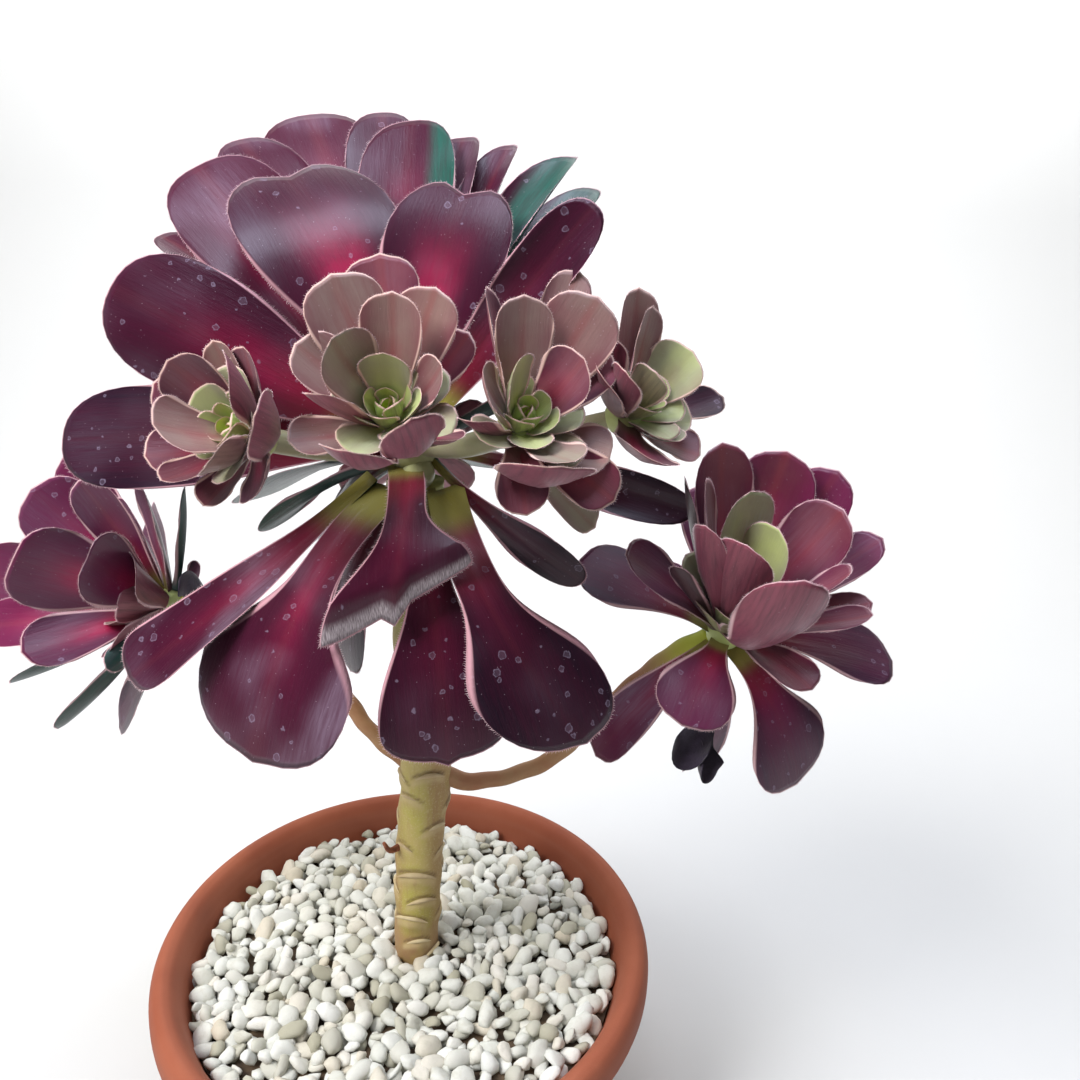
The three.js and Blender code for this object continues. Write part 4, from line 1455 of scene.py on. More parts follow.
@dataclass
class Bowl:
    """Clay bowl with a rolled rim, open drain holes and a curved inside."""

    slot: str = "terracotta"
    rim: float = 107.0
    height: float = 92.0
    base: float = 68.0
    wall: float = 6.5
    floor: float = 8.0
    lip: float = 10.0
    rim_foot: float = 74.0
    belly: float = 0.62
    sides: int = 144
    drain_radius: float = 6.0
    drain_ring: float = 36.0
    drain_count: int = 3
    wobble: float = 0.12
    even_rings: int = 8  # of the profile, which make the flat foot

    def inner_radius(self, z: float) -> float:
        """Inside radius at a height.

        Args:
            z: The height.

        Returns:
            The radius.
        """
        share = (z - self.floor) / (self.height - self.floor)
        foot = self.base - self.wall
        return foot + (self.rim - self.lip - foot) * max(share, 0.0) ** self.belly

    def profile(self) -> list[tuple[float, float]]:
        """Radius and height from the middle of the underside round to the middle of the floor.

        Returns:
            The points in order.
        """
        rim, top = self.rim, self.height
        outside = [(self.inner_radius(z) + self.wall, z) for z in (16, 24, 37, 50, 62, 70)]
        outside = [(min(r, rim - 3.5), z) for r, z in outside]
        inside = [(self.inner_radius(z), z) for z in (86, 70, 50, 36, 24, 15, self.floor + 3)]
        corners = [
            (self.base - 2, 0.0), (self.base, 2.0), *outside, (rim - 3.5, self.rim_foot),
            (rim, self.rim_foot + 4), (rim, top - 5), (rim - 2, top - 1.2), (rim - 5, top),
            (rim - 8.4, top - 1.4), *inside, (self.inner_radius(self.floor + 3) - 4, self.floor),
        ]
        for _ in range(2):
            cut = [corners[0]]
            for (r0, z0), (r1, z1) in zip(corners, corners[1:]):
                cut += [(r0 + share * (r1 - r0), z0 + share * (z1 - z0)) for share in (0.2, 0.8)]
            corners = cut + [corners[-1]]
        return corners

    def build(self, clay: Material) -> None:
        """Builds the bowl and cuts its drain holes.

        Args:
            clay: Material of the bowl.
        """
        angles = 2 * np.pi * np.arange(self.sides) / self.sides
        rings = []
        for k, (radius, z) in enumerate(self.profile()):
            wide = radius + (0 if k < self.even_rings else self.wobble) * np.sin(2 * angles + 0.04 * z)
            rings.append(np.stack([wide * np.cos(angles), wide * np.sin(angles), 0 * angles + z], axis=1))
        walls = tube_faces(len(rings), self.sides)
        body = place_mesh("clay_bowl", new_mesh("clay_bowl", np.array(rings), walls))
        for i in range(self.drain_count):
            angle = 2 * math.pi * (i + 0.5) / self.drain_count
            self.cut_hole(body, self.drain_ring * math.cos(angle), self.drain_ring * math.sin(angle))
        shade_smooth(body.data)
        body.data.materials.clear()
        body.data.materials.append(clay)
        finish_piece(body, self.slot, "pot")

    def cut_hole(self, body: Piece, x: float, y: float) -> None:
        """Cuts one round hole through the floor.

        Args:
            body: The bowl.
            x: Place of the hole, in millimetres.
            y: Place of the hole, in millimetres.
        """
        sides, heights = 32, (-self.floor, self.floor, 3 * self.floor)
        drill = Limb([(x, y, z) for z in heights], [self.drain_radius] * 3, sides, 2)
        tool = place_mesh("drill", new_mesh("drill", drill.rings(), tube_faces(3, sides)))
        cut = body.modifiers.new("drain", "BOOLEAN")
        cut.operation, cut.object, cut.solver = "DIFFERENCE", tool, "EXACT"
        settle(body)
        bpy.data.objects.remove(tool)


# Depth under the level, gap to the wall, spacing and pebble size in mm, and random seed.
PEBBLE_LAYERS = {"pebbles_top": (0.6, 3.4, 5.6, 3.9, 4), "pebbles_under": (3.4, 2.6, 5.2, 3.6, 11)}


@dataclass
class Gravel:
    """Rounded pebbles heaped a little towards the trunk, over a dark bed."""

    bowl: Bowl
    slot: str = "gravel"
    level: float = 78.5  # mm, at the wall
    mound: float = 3.6  # mm
    trunk: Triple = (3.0, 0.0, 11.0)  # place and clear radius
    sides: int = 72
    rounds: int = 16
    bed: tuple[float, float] = (5.2, 0.4)  # depth and gap of the bed

    def bed_mesh(self, drop: float, shrink: float) -> Mesh:
        """Ring-shaped mound that the pebbles lie on.

        Args:
            drop: How far under the pebbles' level, in millimetres.
            shrink: How far inside the wall it ends, in millimetres.

        Returns:
            The mesh.
        """
        sides, count = self.sides, self.rounds
        x0, y0, clear = self.trunk
        reach = self.bowl.inner_radius(self.level - drop) - shrink
        points, faces = [], []
        for i in range(count + 1):
            share = i / count
            for j in range(sides):
                a = 2 * math.pi * j / sides
                inner = (x0 + clear * math.cos(a), y0 + clear * math.sin(a))
                outer = (reach * math.cos(a), reach * math.sin(a))
                x, y = (p * (1 - share) + q * share for p, q in zip(inner, outer))
                r = math.hypot(x, y) / self.bowl.rim
                uneven = 0.8 * math.sin(0.06 * x + 1) * math.cos(0.07 * y)
                points.append((x, y, self.level - drop + self.mound * (1 - r * r) + uneven))
        for i in range(count):
            for j in range(sides):
                a, b = i * sides + j, i * sides + (j + 1) % sides
                faces.append((a, a + sides, b + sides, b))
        return new_mesh("gravel_bed", np.array(points), faces)

    def build(self, stone: Material, soil: Material) -> None:
        """Builds the pebbles and the bed under them.

        Args:
            stone: Material of the pebbles.
            soil: Material of the bed.
        """
        tree = pebble_tree()
        for name, (drop, shrink, spacing, size, seed) in PEBBLE_LAYERS.items():
            inputs = {"Spacing": spacing * MM, "Size": size * MM, "Seed": seed, "Finish": stone}
            piece = grown(name, self.bed_mesh(drop, shrink), tree, inputs)
            finish_piece(piece, self.slot, *(["gravel"] if name == "pebbles_top" else []))
        bed = place_mesh("gravel_bed", self.bed_mesh(*self.bed))
        bed.modifiers.new("thick", "SOLIDIFY").thickness = 1.0 * MM
        settle(bed)
        bed.data.materials.append(soil)
        finish_piece(bed, self.slot)


def pebble_tree() -> Tree:
    """Geometry nodes that scatter rounded, uneven pebbles over a surface.

    Returns:
        The node group.
    """
    values = {"Geometry": "Geometry", "Spacing": 0.005, "Size": 0.004, "Seed": 1, "Finish": "Material"}
    sketch = Group.start("pebble_scatter", "Geometry", values, {"Geometry": "Geometry"})
    inputs, seed = sketch.inputs, sketch.inputs["Seed"]
    spread = {"Mesh": inputs["Geometry"], "Distance Min": inputs["Spacing"], "Density Max": 90000.0}
    spread["Seed"] = seed
    points = sketch.add("GeometryNodeDistributePointsOnFaces", spread, distribute_method="POISSON").outputs[0]
    stone = sketch.add("GeometryNodeMeshIcoSphere", {"Radius": 1.0, "Subdivisions": 2}).outputs[0]
    shape = sketch.chance((0.9, 0.68, 0.5), (1.6, 1.05, 0.8), sketch.math("ADD", seed, 3))
    scale = sketch.scaled(shape, sketch.product(sketch.chance(0.66, 1.26, seed), inputs["Size"]))
    tilt = sketch.chance((-0.75, -0.75, 0.0), (0.75, 0.75, 6.283), sketch.math("ADD", seed, 5))
    turn = sketch.add("FunctionNodeEulerToRotation", {0: tilt}).outputs[0]
    tint = sketch.chance((0.0, 0.0, 0.0), (1.0, 1.0, 1.0), sketch.math("ADD", seed, 9))
    shade = {"Geometry": sketch.planted(points, stone, turn, scale), "Name": "pebble", "Value": tint}
    kind = {"data_type": "FLOAT_VECTOR", "domain": "INSTANCE"}
    whole = sketch.realized(sketch.add("GeometryNodeStoreNamedAttribute", shade, **kind).outputs[0])
    where = sketch.add("GeometryNodeInputPosition").outputs[0]
    lump = sketch.add("ShaderNodeTexNoise", {"Vector": where, "Scale": 190.0, "Detail": 1.0}).outputs[1]
    centred = {0: lump, 1: (0.5, 0.5, 0.5)}
    push = sketch.add("ShaderNodeVectorMath", centred, operation="SUBTRACT").outputs[0]
    moved = {"Geometry": whole, "Offset": sketch.scaled(push, 0.0042)}
    uneven = sketch.add("GeometryNodeSetPosition", moved).outputs[0]
    return sketch.close(sketch.coated(uneven, inputs["Finish"]))


# ---------------------------------------------------------------- finishes

Paint = dict[str, Socket]


@dataclass(frozen=True)
class Surface:
    """Constant values of a Principled surface, whose colours each kind of surface paints."""

    name: str
    roughness: float = 0.5
    specular: float = 0.4
    sheen: float = 0.0
    sheen_tint: Colour = (1.0, 1.0, 1.0, 1.0)
    coat: float = 0.0
    coat_roughness: float = 0.3
    bump: float = 0.3
    bump_reach: float = 0.0006

    def paint(self, sketch: Sketch, group: Tree) -> Paint:
        """Varying colour, roughness and height, by the shader's input names."""
        raise NotImplementedError

    def build(self, group: Tree) -> Material:
        """Makes the material.

        Args:
            group: Node group that the surface is painted with.

        Returns:
            The material.
        """
        material = bpy.data.materials.new(self.name)
        material.use_nodes = True
        material.node_tree.nodes.clear()
        sketch = Sketch(material.node_tree)
        painted = self.paint(sketch, group)
        if "Height" in painted:
            bump = {"Strength": self.bump, "Distance": self.bump_reach, "Height": painted.pop("Height")}
            painted["Normal"] = sketch.add("ShaderNodeBump", bump).outputs[0]
        constants = {
            "Roughness": self.roughness,
            "Specular IOR Level": self.specular,
            "Sheen Weight": self.sheen,
            "Sheen Tint": self.sheen_tint,
            "Coat Weight": self.coat,
            "Coat Roughness": self.coat_roughness,
        }
        shader = sketch.add("ShaderNodeBsdfPrincipled", {**constants, **painted}).outputs[0]
        sketch.add("ShaderNodeOutputMaterial", {0: shader})
        return material


@dataclass(frozen=True)
class GrainSurface(Surface):
    """Surface painted with the grain group: a mottle, a grain and specks of these scales."""

    broad: float = 30.0
    fine: float = 900.0

    def grain(self, sketch: Sketch, group: Tree) -> tuple[Socket, dict[str, Socket]]:
        """Object coordinates, and the outputs of the grain group by name.

        Args:
            sketch: Sketch of the material's tree.
            group: The grain group.

        Returns:
            The coordinates and the outputs.
        """
        place = sketch.object_place()
        inputs = {"Vector": place, "Broad": self.broad, "Fine": self.fine}
        node = sketch.add("ShaderNodeGroup", inputs, node_tree=group)
        return place, {socket.name: socket for socket in node.outputs}


def fine_grain() -> Tree:
    """Group of a broad mottle, a fine grain and sparse specks, on Object coordinates.

    Returns:
        The node group.
    """
    outputs = {"Mottle": "Float", "Grain": "Float", "Specks": "Float"}
    sketch = Group.start("fine_grain", "Shader", {"Vector": "Vector", "Broad": 30.0, "Fine": 900.0}, outputs)
    place, fine = sketch.inputs["Vector"], sketch.inputs["Fine"]
    mottle = sketch.noise(place, sketch.inputs["Broad"], 4.0, 0.6)
    grain = sketch.noise(place, fine, 2.0, 0.6)
    cells = sketch.add("ShaderNodeTexVoronoi", {"Vector": place, "Scale": fine})
    return sketch.close(mottle, grain, sketch.step(cells.outputs["Distance"], 0.1, 0.28, 1.0, 0.0))


@dataclass
class LeafSkin:
    """Builds the group that paints a leaf from the attributes of its mesh.

    along runs from 0 at the root to 1 at the tip, side from 0 at the rib to 1 at the margin, and
    edge is the distance from the margin in millimetres.
    """

    ripe: Colour = rgb(0.072, 0.007, 0.025)
    shade: Colour = rgb(0.011, 0.0045, 0.012)
    glow: Colour = rgb(0.5, 0.012, 0.08)
    margin: Colour = rgb(0.62, 0.33, 0.38)
    margin_width: float = 0.45

    def __post_init__(self) -> None:
        """Starts the group and reads the attributes and the shared noises."""
        values = {
            "Ripe": self.ripe,
            "Shade": self.shade,
            "Glow": self.glow,
            "Margin": self.margin,
            "Margin Width": self.margin_width,
        }
        outputs = {"Colour": "Color", "Roughness": "Float", "Height": "Float"}
        self.sketch = sketch = Group.start("leaf_skin", "Shader", values, outputs)
        self.flat = sketch.attribute("flat", "Vector")
        self.age, self.glowing, self.dark = sketch.split(sketch.attribute("tone", "Vector"))
        self.spots, self.bloom_and_sheen, self.hem = sketch.split(sketch.attribute("marks", "Vector"))
        self.across, self.along, self.edge = sketch.split(sketch.attribute("place", "Vector"))
        self.green, self.chance, _ = sketch.split(sketch.attribute("tint", "Vector"))
        self.under = sketch.attribute("under")
        self.side = sketch.math("ABSOLUTE", self.across)
        self.blotch = sketch.noise(self.flat, 0.09, 3.0, 0.6)
        self.streak = sketch.noise(sketch.stretched(self.flat, (0.9, 0.07, 1.0)), 1.0, 3.0, 0.65)
        self.hairs = sketch.noise(sketch.stretched(self.flat, (3.0, 0.35, 1.0)), 1.6, 2.0, 0.6)

    def upper(self) -> Socket:
        """Colour of the upper face: its age, rib, glowing heart, dark end, petiole and green side.

        Returns:
            The colour.
        """
        sketch, step, inputs = self.sketch, self.sketch.step, self.sketch.inputs
        side, along, age, blotch, streak = self.side, self.along, self.age, self.blotch, self.streak
        ripening = sketch.math("MULTIPLY_ADD", step(along, 0.0, 0.75, -0.22, 0.04), 1.0, age)
        ripening = sketch.math("MULTIPLY_ADD", sketch.math("SUBTRACT", blotch, 0.5), 0.16, ripening)
        ripening = sketch.math("ADD", ripening, step(side, 0.3, 1.0, 0.0, 0.1))
        ages = [
            (0.0, 0.55, 0.75, 0.10),
            (0.17, 0.48, 0.56, 0.20),
            (0.33, 0.33, 0.34, 0.20),
            (0.52, 0.26, 0.17, 0.14),
            (0.72, 0.20, 0.055, 0.07),
            (0.88, 0.12, 0.018, 0.038),
        ]
        colour = sketch.mix(step(ripening, 0.82, 0.98), sketch.ramp(ripening, ages), inputs["Ripe"])
        rib = sketch.product(
            step(side, 0.02, 0.2, 1.0, 0.0), step(along, 0.1, 0.35), step(age, 0.2, 0.5),
            step(age, 0.85, 0.97, 1.0, 0.3),
        )
        colour = sketch.mix(sketch.product(rib, 0.3), colour, rgb(0.26, 0.045, 0.045))
        heart = sketch.product(
            step(side, 0.08, 0.75, 1.0, 0.0),
            step(along, 0.12, 0.42),
            step(along, 0.5, 0.95, 1.0, 0.0),
            step(blotch, 0.2, 0.6, 0.55, 1.0),
            self.glowing,
        )
        colour = sketch.mix(heart, colour, inputs["Glow"])
        # Darker towards the end and the margin by the dark value; on DARK-toned leaves this is partly painted
        # shade.
        end = sketch.math("ADD", step(along, 0.42, 0.92, 0.0, 0.8), step(side, 0.5, 1.0, 0.0, 0.35))
        end = sketch.product(sketch.math("MINIMUM", end, 1.0), self.dark, step(streak, 0.2, 0.75, 0.75, 1.0))
        colour = sketch.mix(end, colour, inputs["Shade"])
        stalk = sketch.product(step(along, 0.16, 0.34, 1.0, 0.0), step(age, 0.75, 0.95))
        colour = sketch.mix(stalk, colour, rgb(0.25, 0.22, 0.045))
        blush = sketch.product(
            step(along, 0.18, 0.34), step(along, 0.36, 0.6, 1.0, 0.0), step(age, 0.8, 0.95)
        )
        colour = sketch.mix(sketch.product(blush, 0.6), colour, rgb(0.22, 0.012, 0.03))
        inner = sketch.math("SUBTRACT", 1.0, sketch.math("MULTIPLY", self.green, 2.0))
        verdant = sketch.product(
            step(sketch.math("SUBTRACT", self.across, inner), -0.1, 0.25),
            step(self.green, 0.02, 0.1),
            step(streak, 0.2, 0.7, 0.6, 1.0),
        )
        colour = sketch.mix(verdant, colour, rgb(0.02, 0.105, 0.075))
        return sketch.mix(step(self.chance, 0.0, 1.0, 0.0, 0.6), colour, rgb(0.66, 0.6, 0.72), "MULTIPLY")

    def lower(self) -> Socket:
        """Colour of the lower face, from green through pink to blue-green with age.

        Returns:
            The colour.
        """
        sketch = self.sketch
        ages = [
            (0.0, 0.27, 0.40, 0.09),
            (0.3, 0.24, 0.19, 0.12),
            (0.55, 0.30, 0.10, 0.13),
            (0.82, 0.18, 0.035, 0.06),
            (0.93, 0.035, 0.04, 0.035),
            (1.0, 0.008, 0.045, 0.034),
        ]
        streaks = sketch.product(sketch.step(self.streak, 0.35, 0.8), 0.5)
        return sketch.mix(streaks, sketch.ramp(self.age, ages), rgb(0.03, 0.014, 0.02))

    def with_film_and_sheen(self, colour: Socket) -> Socket:
        """Colour under the silvery film with its painted sheen, the down and the grey folded hem.

        Args:
            colour: Colour of the bare leaf.

        Returns:
            The colour with them.
        """
        sketch, step = self.sketch, self.sketch.step
        above = step(self.under, 0.0, 1.0, 1.0, 0.15)
        # The silvery film on the upper face is partly the leaf's own waxy bloom and partly a painted sheen.
        film_and_sheen = sketch.product(
            step(self.streak, 0.25, 0.8, 0.4, 1.0),
            step(sketch.noise(self.flat, 0.035, 1.0, 0.5), 0.42, 0.7),
            step(self.along, 0.3, 0.65),
            self.bloom_and_sheen,
            above,
        )
        veil_and_sheen = sketch.mix(step(self.age, 0.45, 0.8), rgb(0.45, 0.48, 0.4), rgb(0.25, 0.18, 0.25))
        colour = sketch.mix(sketch.product(film_and_sheen, 0.55), colour, veil_and_sheen)
        down = sketch.product(step(self.hairs, 0.62, 0.92), step(self.bloom_and_sheen, 0.1, 1.0, 0.02, 0.14), above)
        colour = sketch.mix(down, colour, rgb(0.42, 0.32, 0.38))
        past_fold = sketch.math("SUBTRACT", self.along, sketch.math("SUBTRACT", 1.0, self.hem))
        folded = sketch.product(step(past_fold, 0.0, 0.03), step(self.hem, 0.01, 0.05))
        grey = sketch.mix(step(self.hairs, 0.3, 0.7), rgb(0.12, 0.09, 0.10), rgb(0.42, 0.36, 0.38))
        return sketch.mix(folded, colour, grey)

    def spotted(self, colour: Socket) -> tuple[Socket, Socket, Socket]:
        """Colour with dried water rings and dust, how wet each place was, and the rings alone.

        Args:
            colour: Colour before the rings.

        Returns:
            The colour, the wet places and the rings.
        """
        sketch, step = self.sketch, self.sketch.step
        wobble = sketch.add("ShaderNodeTexNoise", {"Vector": self.flat, "Scale": 0.9, "Detail": 1.0})
        shake = {0: wobble.outputs["Color"], 1: (1.3, 1.3, 0.0), 2: self.flat}
        shaken = sketch.add("ShaderNodeVectorMath", shake, operation="MULTIPLY_ADD").outputs[0]
        drops = sketch.add("ShaderNodeTexVoronoi", {"Vector": shaken, "Scale": 0.25, "Randomness": 0.95})
        pick, size, _ = sketch.split(drops.outputs["Color"])
        radius = sketch.math("MULTIPLY_ADD", sketch.math("MULTIPLY", size, size), 0.28, 0.08)
        gap = sketch.math("SUBTRACT", drops.outputs["Distance"], radius)
        ring = step(sketch.math("ABSOLUTE", gap), 0.01, 0.055, 1.0, 0.0)
        disc = step(gap, -0.05, 0.0, 0.3, 0.0)
        wet = sketch.math("GREATER_THAN", sketch.math("MULTIPLY", self.spots, 0.75), pick)
        mark = sketch.product(sketch.math("ADD", ring, disc, clamp=True), wet, step(self.along, 0.3, 0.5))
        bare, top = step(self.hairs, 0.2, 0.6, 0.35, 0.8), step(self.under, 0.0, 1.0, 1.0, 0.0)
        mark = sketch.product(mark, bare, top)
        colour = sketch.mix(sketch.product(mark, 0.42), colour, rgb(0.36, 0.3, 0.42))
        dust = sketch.add("ShaderNodeTexVoronoi", {"Vector": self.flat, "Scale": 0.9})
        picked = sketch.math("GREATER_THAN", sketch.split(dust.outputs["Color"])[0], 0.8)
        fleck = sketch.product(step(dust.outputs["Distance"], 0.05, 0.14, 1.0, 0.0), picked, 0.5)
        return sketch.mix(fleck, colour, rgb(0.62, 0.5, 0.58)), mark, sketch.product(ring, wet)

    def build(self) -> Tree:
        """Closes the group with its colour, roughness and height.

        Returns:
            The node group.
        """
        sketch, width = self.sketch, self.sketch.inputs["Margin Width"]
        colour = self.with_film_and_sheen(sketch.mix(self.under, self.upper(), self.lower()))
        colour, mark, rings = self.spotted(colour)
        band = sketch.step(self.edge, sketch.math("MULTIPLY", width, 0.3), width, 1.0, 0.0)
        band = sketch.product(band, sketch.step(self.along, 0.1, 0.35), 0.9)
        colour = sketch.mix(band, colour, sketch.inputs["Margin"])
        rough = sketch.math("MULTIPLY_ADD", self.streak, 0.22, 0.27)
        rough = sketch.math("MULTIPLY_ADD", mark, 0.2, rough, clamp=True)
        height = sketch.math("MULTIPLY_ADD", self.hairs, 0.35, sketch.math("MULTIPLY", self.streak, 0.9))
        return sketch.close(colour, rough, sketch.math("MULTIPLY_ADD", rings, 0.25, height))


@dataclass(frozen=True)
class LeafFinish(Surface):
    """Velvety leaf, painted by the leaf group with its own colours."""

    margin: Colour = LeafSkin.margin
    margin_width: float = LeafSkin.margin_width
    ripe: Colour = LeafSkin.ripe
    shade: Colour = LeafSkin.shade

    def paint(self, sketch: Sketch, group: Tree) -> Paint:
        """Outputs of the leaf group.

        Args:
            sketch: Sketch of the material's tree.
            group: Node group that it is painted with.

        Returns:
            Value or socket for each input of the shader.
        """
        painted = sketch.add("ShaderNodeGroup", node_tree=group)
        for field_name in ("margin", "margin_width", "ripe", "shade"):
            label = field_name.replace("_", " ").title()
            painted.inputs[label].default_value = getattr(self, field_name)
        return dict(zip(("Base Color", "Roughness", "Height"), painted.outputs))


@dataclass(frozen=True)
class HairFinish(GrainSurface):
    """Pale hairs, pinker at some places."""

    def paint(self, sketch: Sketch, group: Tree) -> Paint:
        """Pink to cream with the mottle."""
        _, noise = self.grain(sketch, group)
        return {"Base Color": sketch.mix(noise["Mottle"], rgb(0.75, 0.45, 0.5), rgb(0.9, 0.78, 0.78))}


@dataclass(frozen=True)
class ClayFinish(GrainSurface):
    """Fired clay with soft mottling and faint turning rings."""

    def paint(self, sketch: Sketch, group: Tree) -> Paint:
        """Brick red, with paler rings and dark specks.

        Args:
            sketch: Sketch of the material's tree.
            group: Node group that it is painted with.

        Returns:
            Value or socket for each input of the shader.
        """
        place, noise = self.grain(sketch, group)
        reds = [(0.25, 0.235, 0.062, 0.032), (0.5, 0.29, 0.083, 0.043), (0.75, 0.34, 0.108, 0.06)]
        colour = sketch.ramp(noise["Mottle"], reds)
        rings = sketch.noise(sketch.stretched(place, (3.0, 3.0, 160.0)), 1.0, 2.0)
        colour = sketch.mix(sketch.step(rings, 0.45, 0.8, 0.0, 0.22), colour, rgb(0.40, 0.18, 0.12))
        colour = sketch.mix(sketch.product(noise["Specks"], 0.12), colour, rgb(0.18, 0.055, 0.03))
        height = sketch.math("MULTIPLY_ADD", noise["Grain"], 0.5, rings)
        rough = sketch.step(noise["Mottle"], 0.2, 0.8, 0.62, 0.82)
        return {"Base Color": colour, "Height": height, "Roughness": rough}


@dataclass(frozen=True)
class StoneFinish(GrainSurface):
    """Pale pebbles, each with its own shade of grey-green, cream or beige."""

    def paint(self, sketch: Sketch, group: Tree) -> Paint:
        """Each pebble's own shade, mottled and speckled.

        Args:
            sketch: Sketch of the material's tree.
            group: Node group that it is painted with.

        Returns:
            Value or socket for each input of the shader.
        """
        shade, light, _ = sketch.split(sketch.attribute("pebble", "Vector"))
        shades = [
            (0.0, 0.34, 0.32, 0.23),
            (0.15, 0.52, 0.51, 0.43),
            (0.4, 0.63, 0.64, 0.59),
            (0.7, 0.70, 0.70, 0.64),
            (0.88, 0.58, 0.52, 0.41),
            (1.0, 0.76, 0.77, 0.75),
        ]
        colour = sketch.ramp(shade, shades)
        _, noise = self.grain(sketch, group)
        colour = sketch.mix(sketch.step(noise["Mottle"], 0.42, 0.78, 0.0, 0.4), colour, rgb(0.40, 0.38, 0.29))
        colour = sketch.mix(sketch.step(light, 0.3, 1.0, 0.0, 0.5), colour, rgb(0.78, 0.79, 0.77))
        colour = sketch.mix(sketch.product(noise["Specks"], 0.2), colour, rgb(0.45, 0.43, 0.35))
        return {"Base Color": colour, "Height": sketch.math("ADD", noise["Grain"], noise["Mottle"])}


@dataclass(frozen=True)
class BarkFinish(GrainSurface):
    """Smooth bark, from brown at the foot through straw and yellow-green, tan on the branches."""

    middle: float = 4.5  # mm, the trunk's mean place along x

    def paint(self, sketch: Sketch, group: Tree) -> Paint:
        """The trunk's colours by height and side, with painted shade on its left and right flanks, its scars,
        then the branches.

        Args:
            sketch: Sketch of the material's tree.
            group: Node group that it is painted with.

        Returns:
            Value or socket for each input of the shader.
        """
        place, noise = self.grain(sketch, group)
        step, mottle, youth = sketch.step, noise["Mottle"], sketch.attribute("youth")
        x, _, z = sketch.split(place)
        height_mm = sketch.math("MULTIPLY", z, 1000.0)
        # Tan towards the trunk's left and right flanks, as seen from the front, is painted shade; the tan
        # streaks are the bark's own.
        away = sketch.math("ABSOLUTE", sketch.math("MULTIPLY_ADD", x, 1000.0, -self.middle))
        colour = sketch.mix(step(mottle, 0.35, 0.65), rgb(0.50, 0.40, 0.15), rgb(0.44, 0.40, 0.085))
        streaks = sketch.noise(sketch.stretched(place, (420.0, 420.0, 45.0)), 1.0, 3.0, 0.6)
        tan = sketch.math("ADD", step(away, 3.0, 9.5, 0.0, 0.75), step(streaks, 0.5, 0.8, 0.0, 0.6))
        colour = sketch.mix(sketch.math("MINIMUM", tan, 0.9), colour, rgb(0.36, 0.22, 0.10))
        colour = sketch.mix(step(noise["Grain"], 0.5, 0.8, 0.0, 0.5), colour, rgb(0.62, 0.55, 0.32))
        wear = sketch.noise(place, 38.0, 3.0, 0.6)
        foot = sketch.math("ADD", step(height_mm, 82.0, 112.0, 0.75, 0.0), step(wear, 0.55, 0.72, 0.0, 0.55))
        colour = sketch.mix(sketch.math("MINIMUM", foot, 0.9), colour, rgb(0.33, 0.19, 0.10))
        colour = sketch.mix(step(height_mm, 200.0, 290.0, 0.0, 0.7), colour, rgb(0.22, 0.27, 0.045))
        outline_and_shade, face = sketch.attribute("scar_edge"), sketch.attribute("scar_face")
        colour = sketch.mix(sketch.product(face, 0.6), colour, rgb(0.56, 0.44, 0.24))
        # Dark line along the top of each scar ridge: partly the scar's own outline, partly painted shade in
        # the crease.
        colour = sketch.mix(sketch.product(outline_and_shade, 0.75), colour, rgb(0.14, 0.08, 0.04))
        branch = sketch.mix(step(mottle, 0.3, 0.7), rgb(0.36, 0.16, 0.08), rgb(0.40, 0.24, 0.12))
        branch = sketch.mix(step(youth, 0.82, 0.97), branch, rgb(0.42, 0.45, 0.05))
        colour = sketch.mix(step(youth, 0.1, 0.2), colour, branch)
        return {"Base Color": colour, "Height": sketch.math("MULTIPLY_ADD", noise["Grain"], 0.3, mottle)}


@dataclass(frozen=True)
class PlainFinish(GrainSurface):
    """Mottled surface between two tones, such as soil, a scar or a dry leaf."""

    broad: float = 60.0
    light: Colour = rgb(0.5, 0.5, 0.5)
    deep: Colour = rgb(0.2, 0.2, 0.2)

    def paint(self, sketch: Sketch, group: Tree) -> Paint:
        """Deep to light with the mottle.

        Args:
            sketch: Sketch of the material's tree.
            group: Node group that it is painted with.

        Returns:
            Value or socket for each input of the shader.
        """
        _, noise = self.grain(sketch, group)
        colour = sketch.mix(sketch.step(noise["Mottle"], 0.3, 0.7), self.deep, self.light)
        return {"Base Color": colour, "Height": noise["Grain"]}


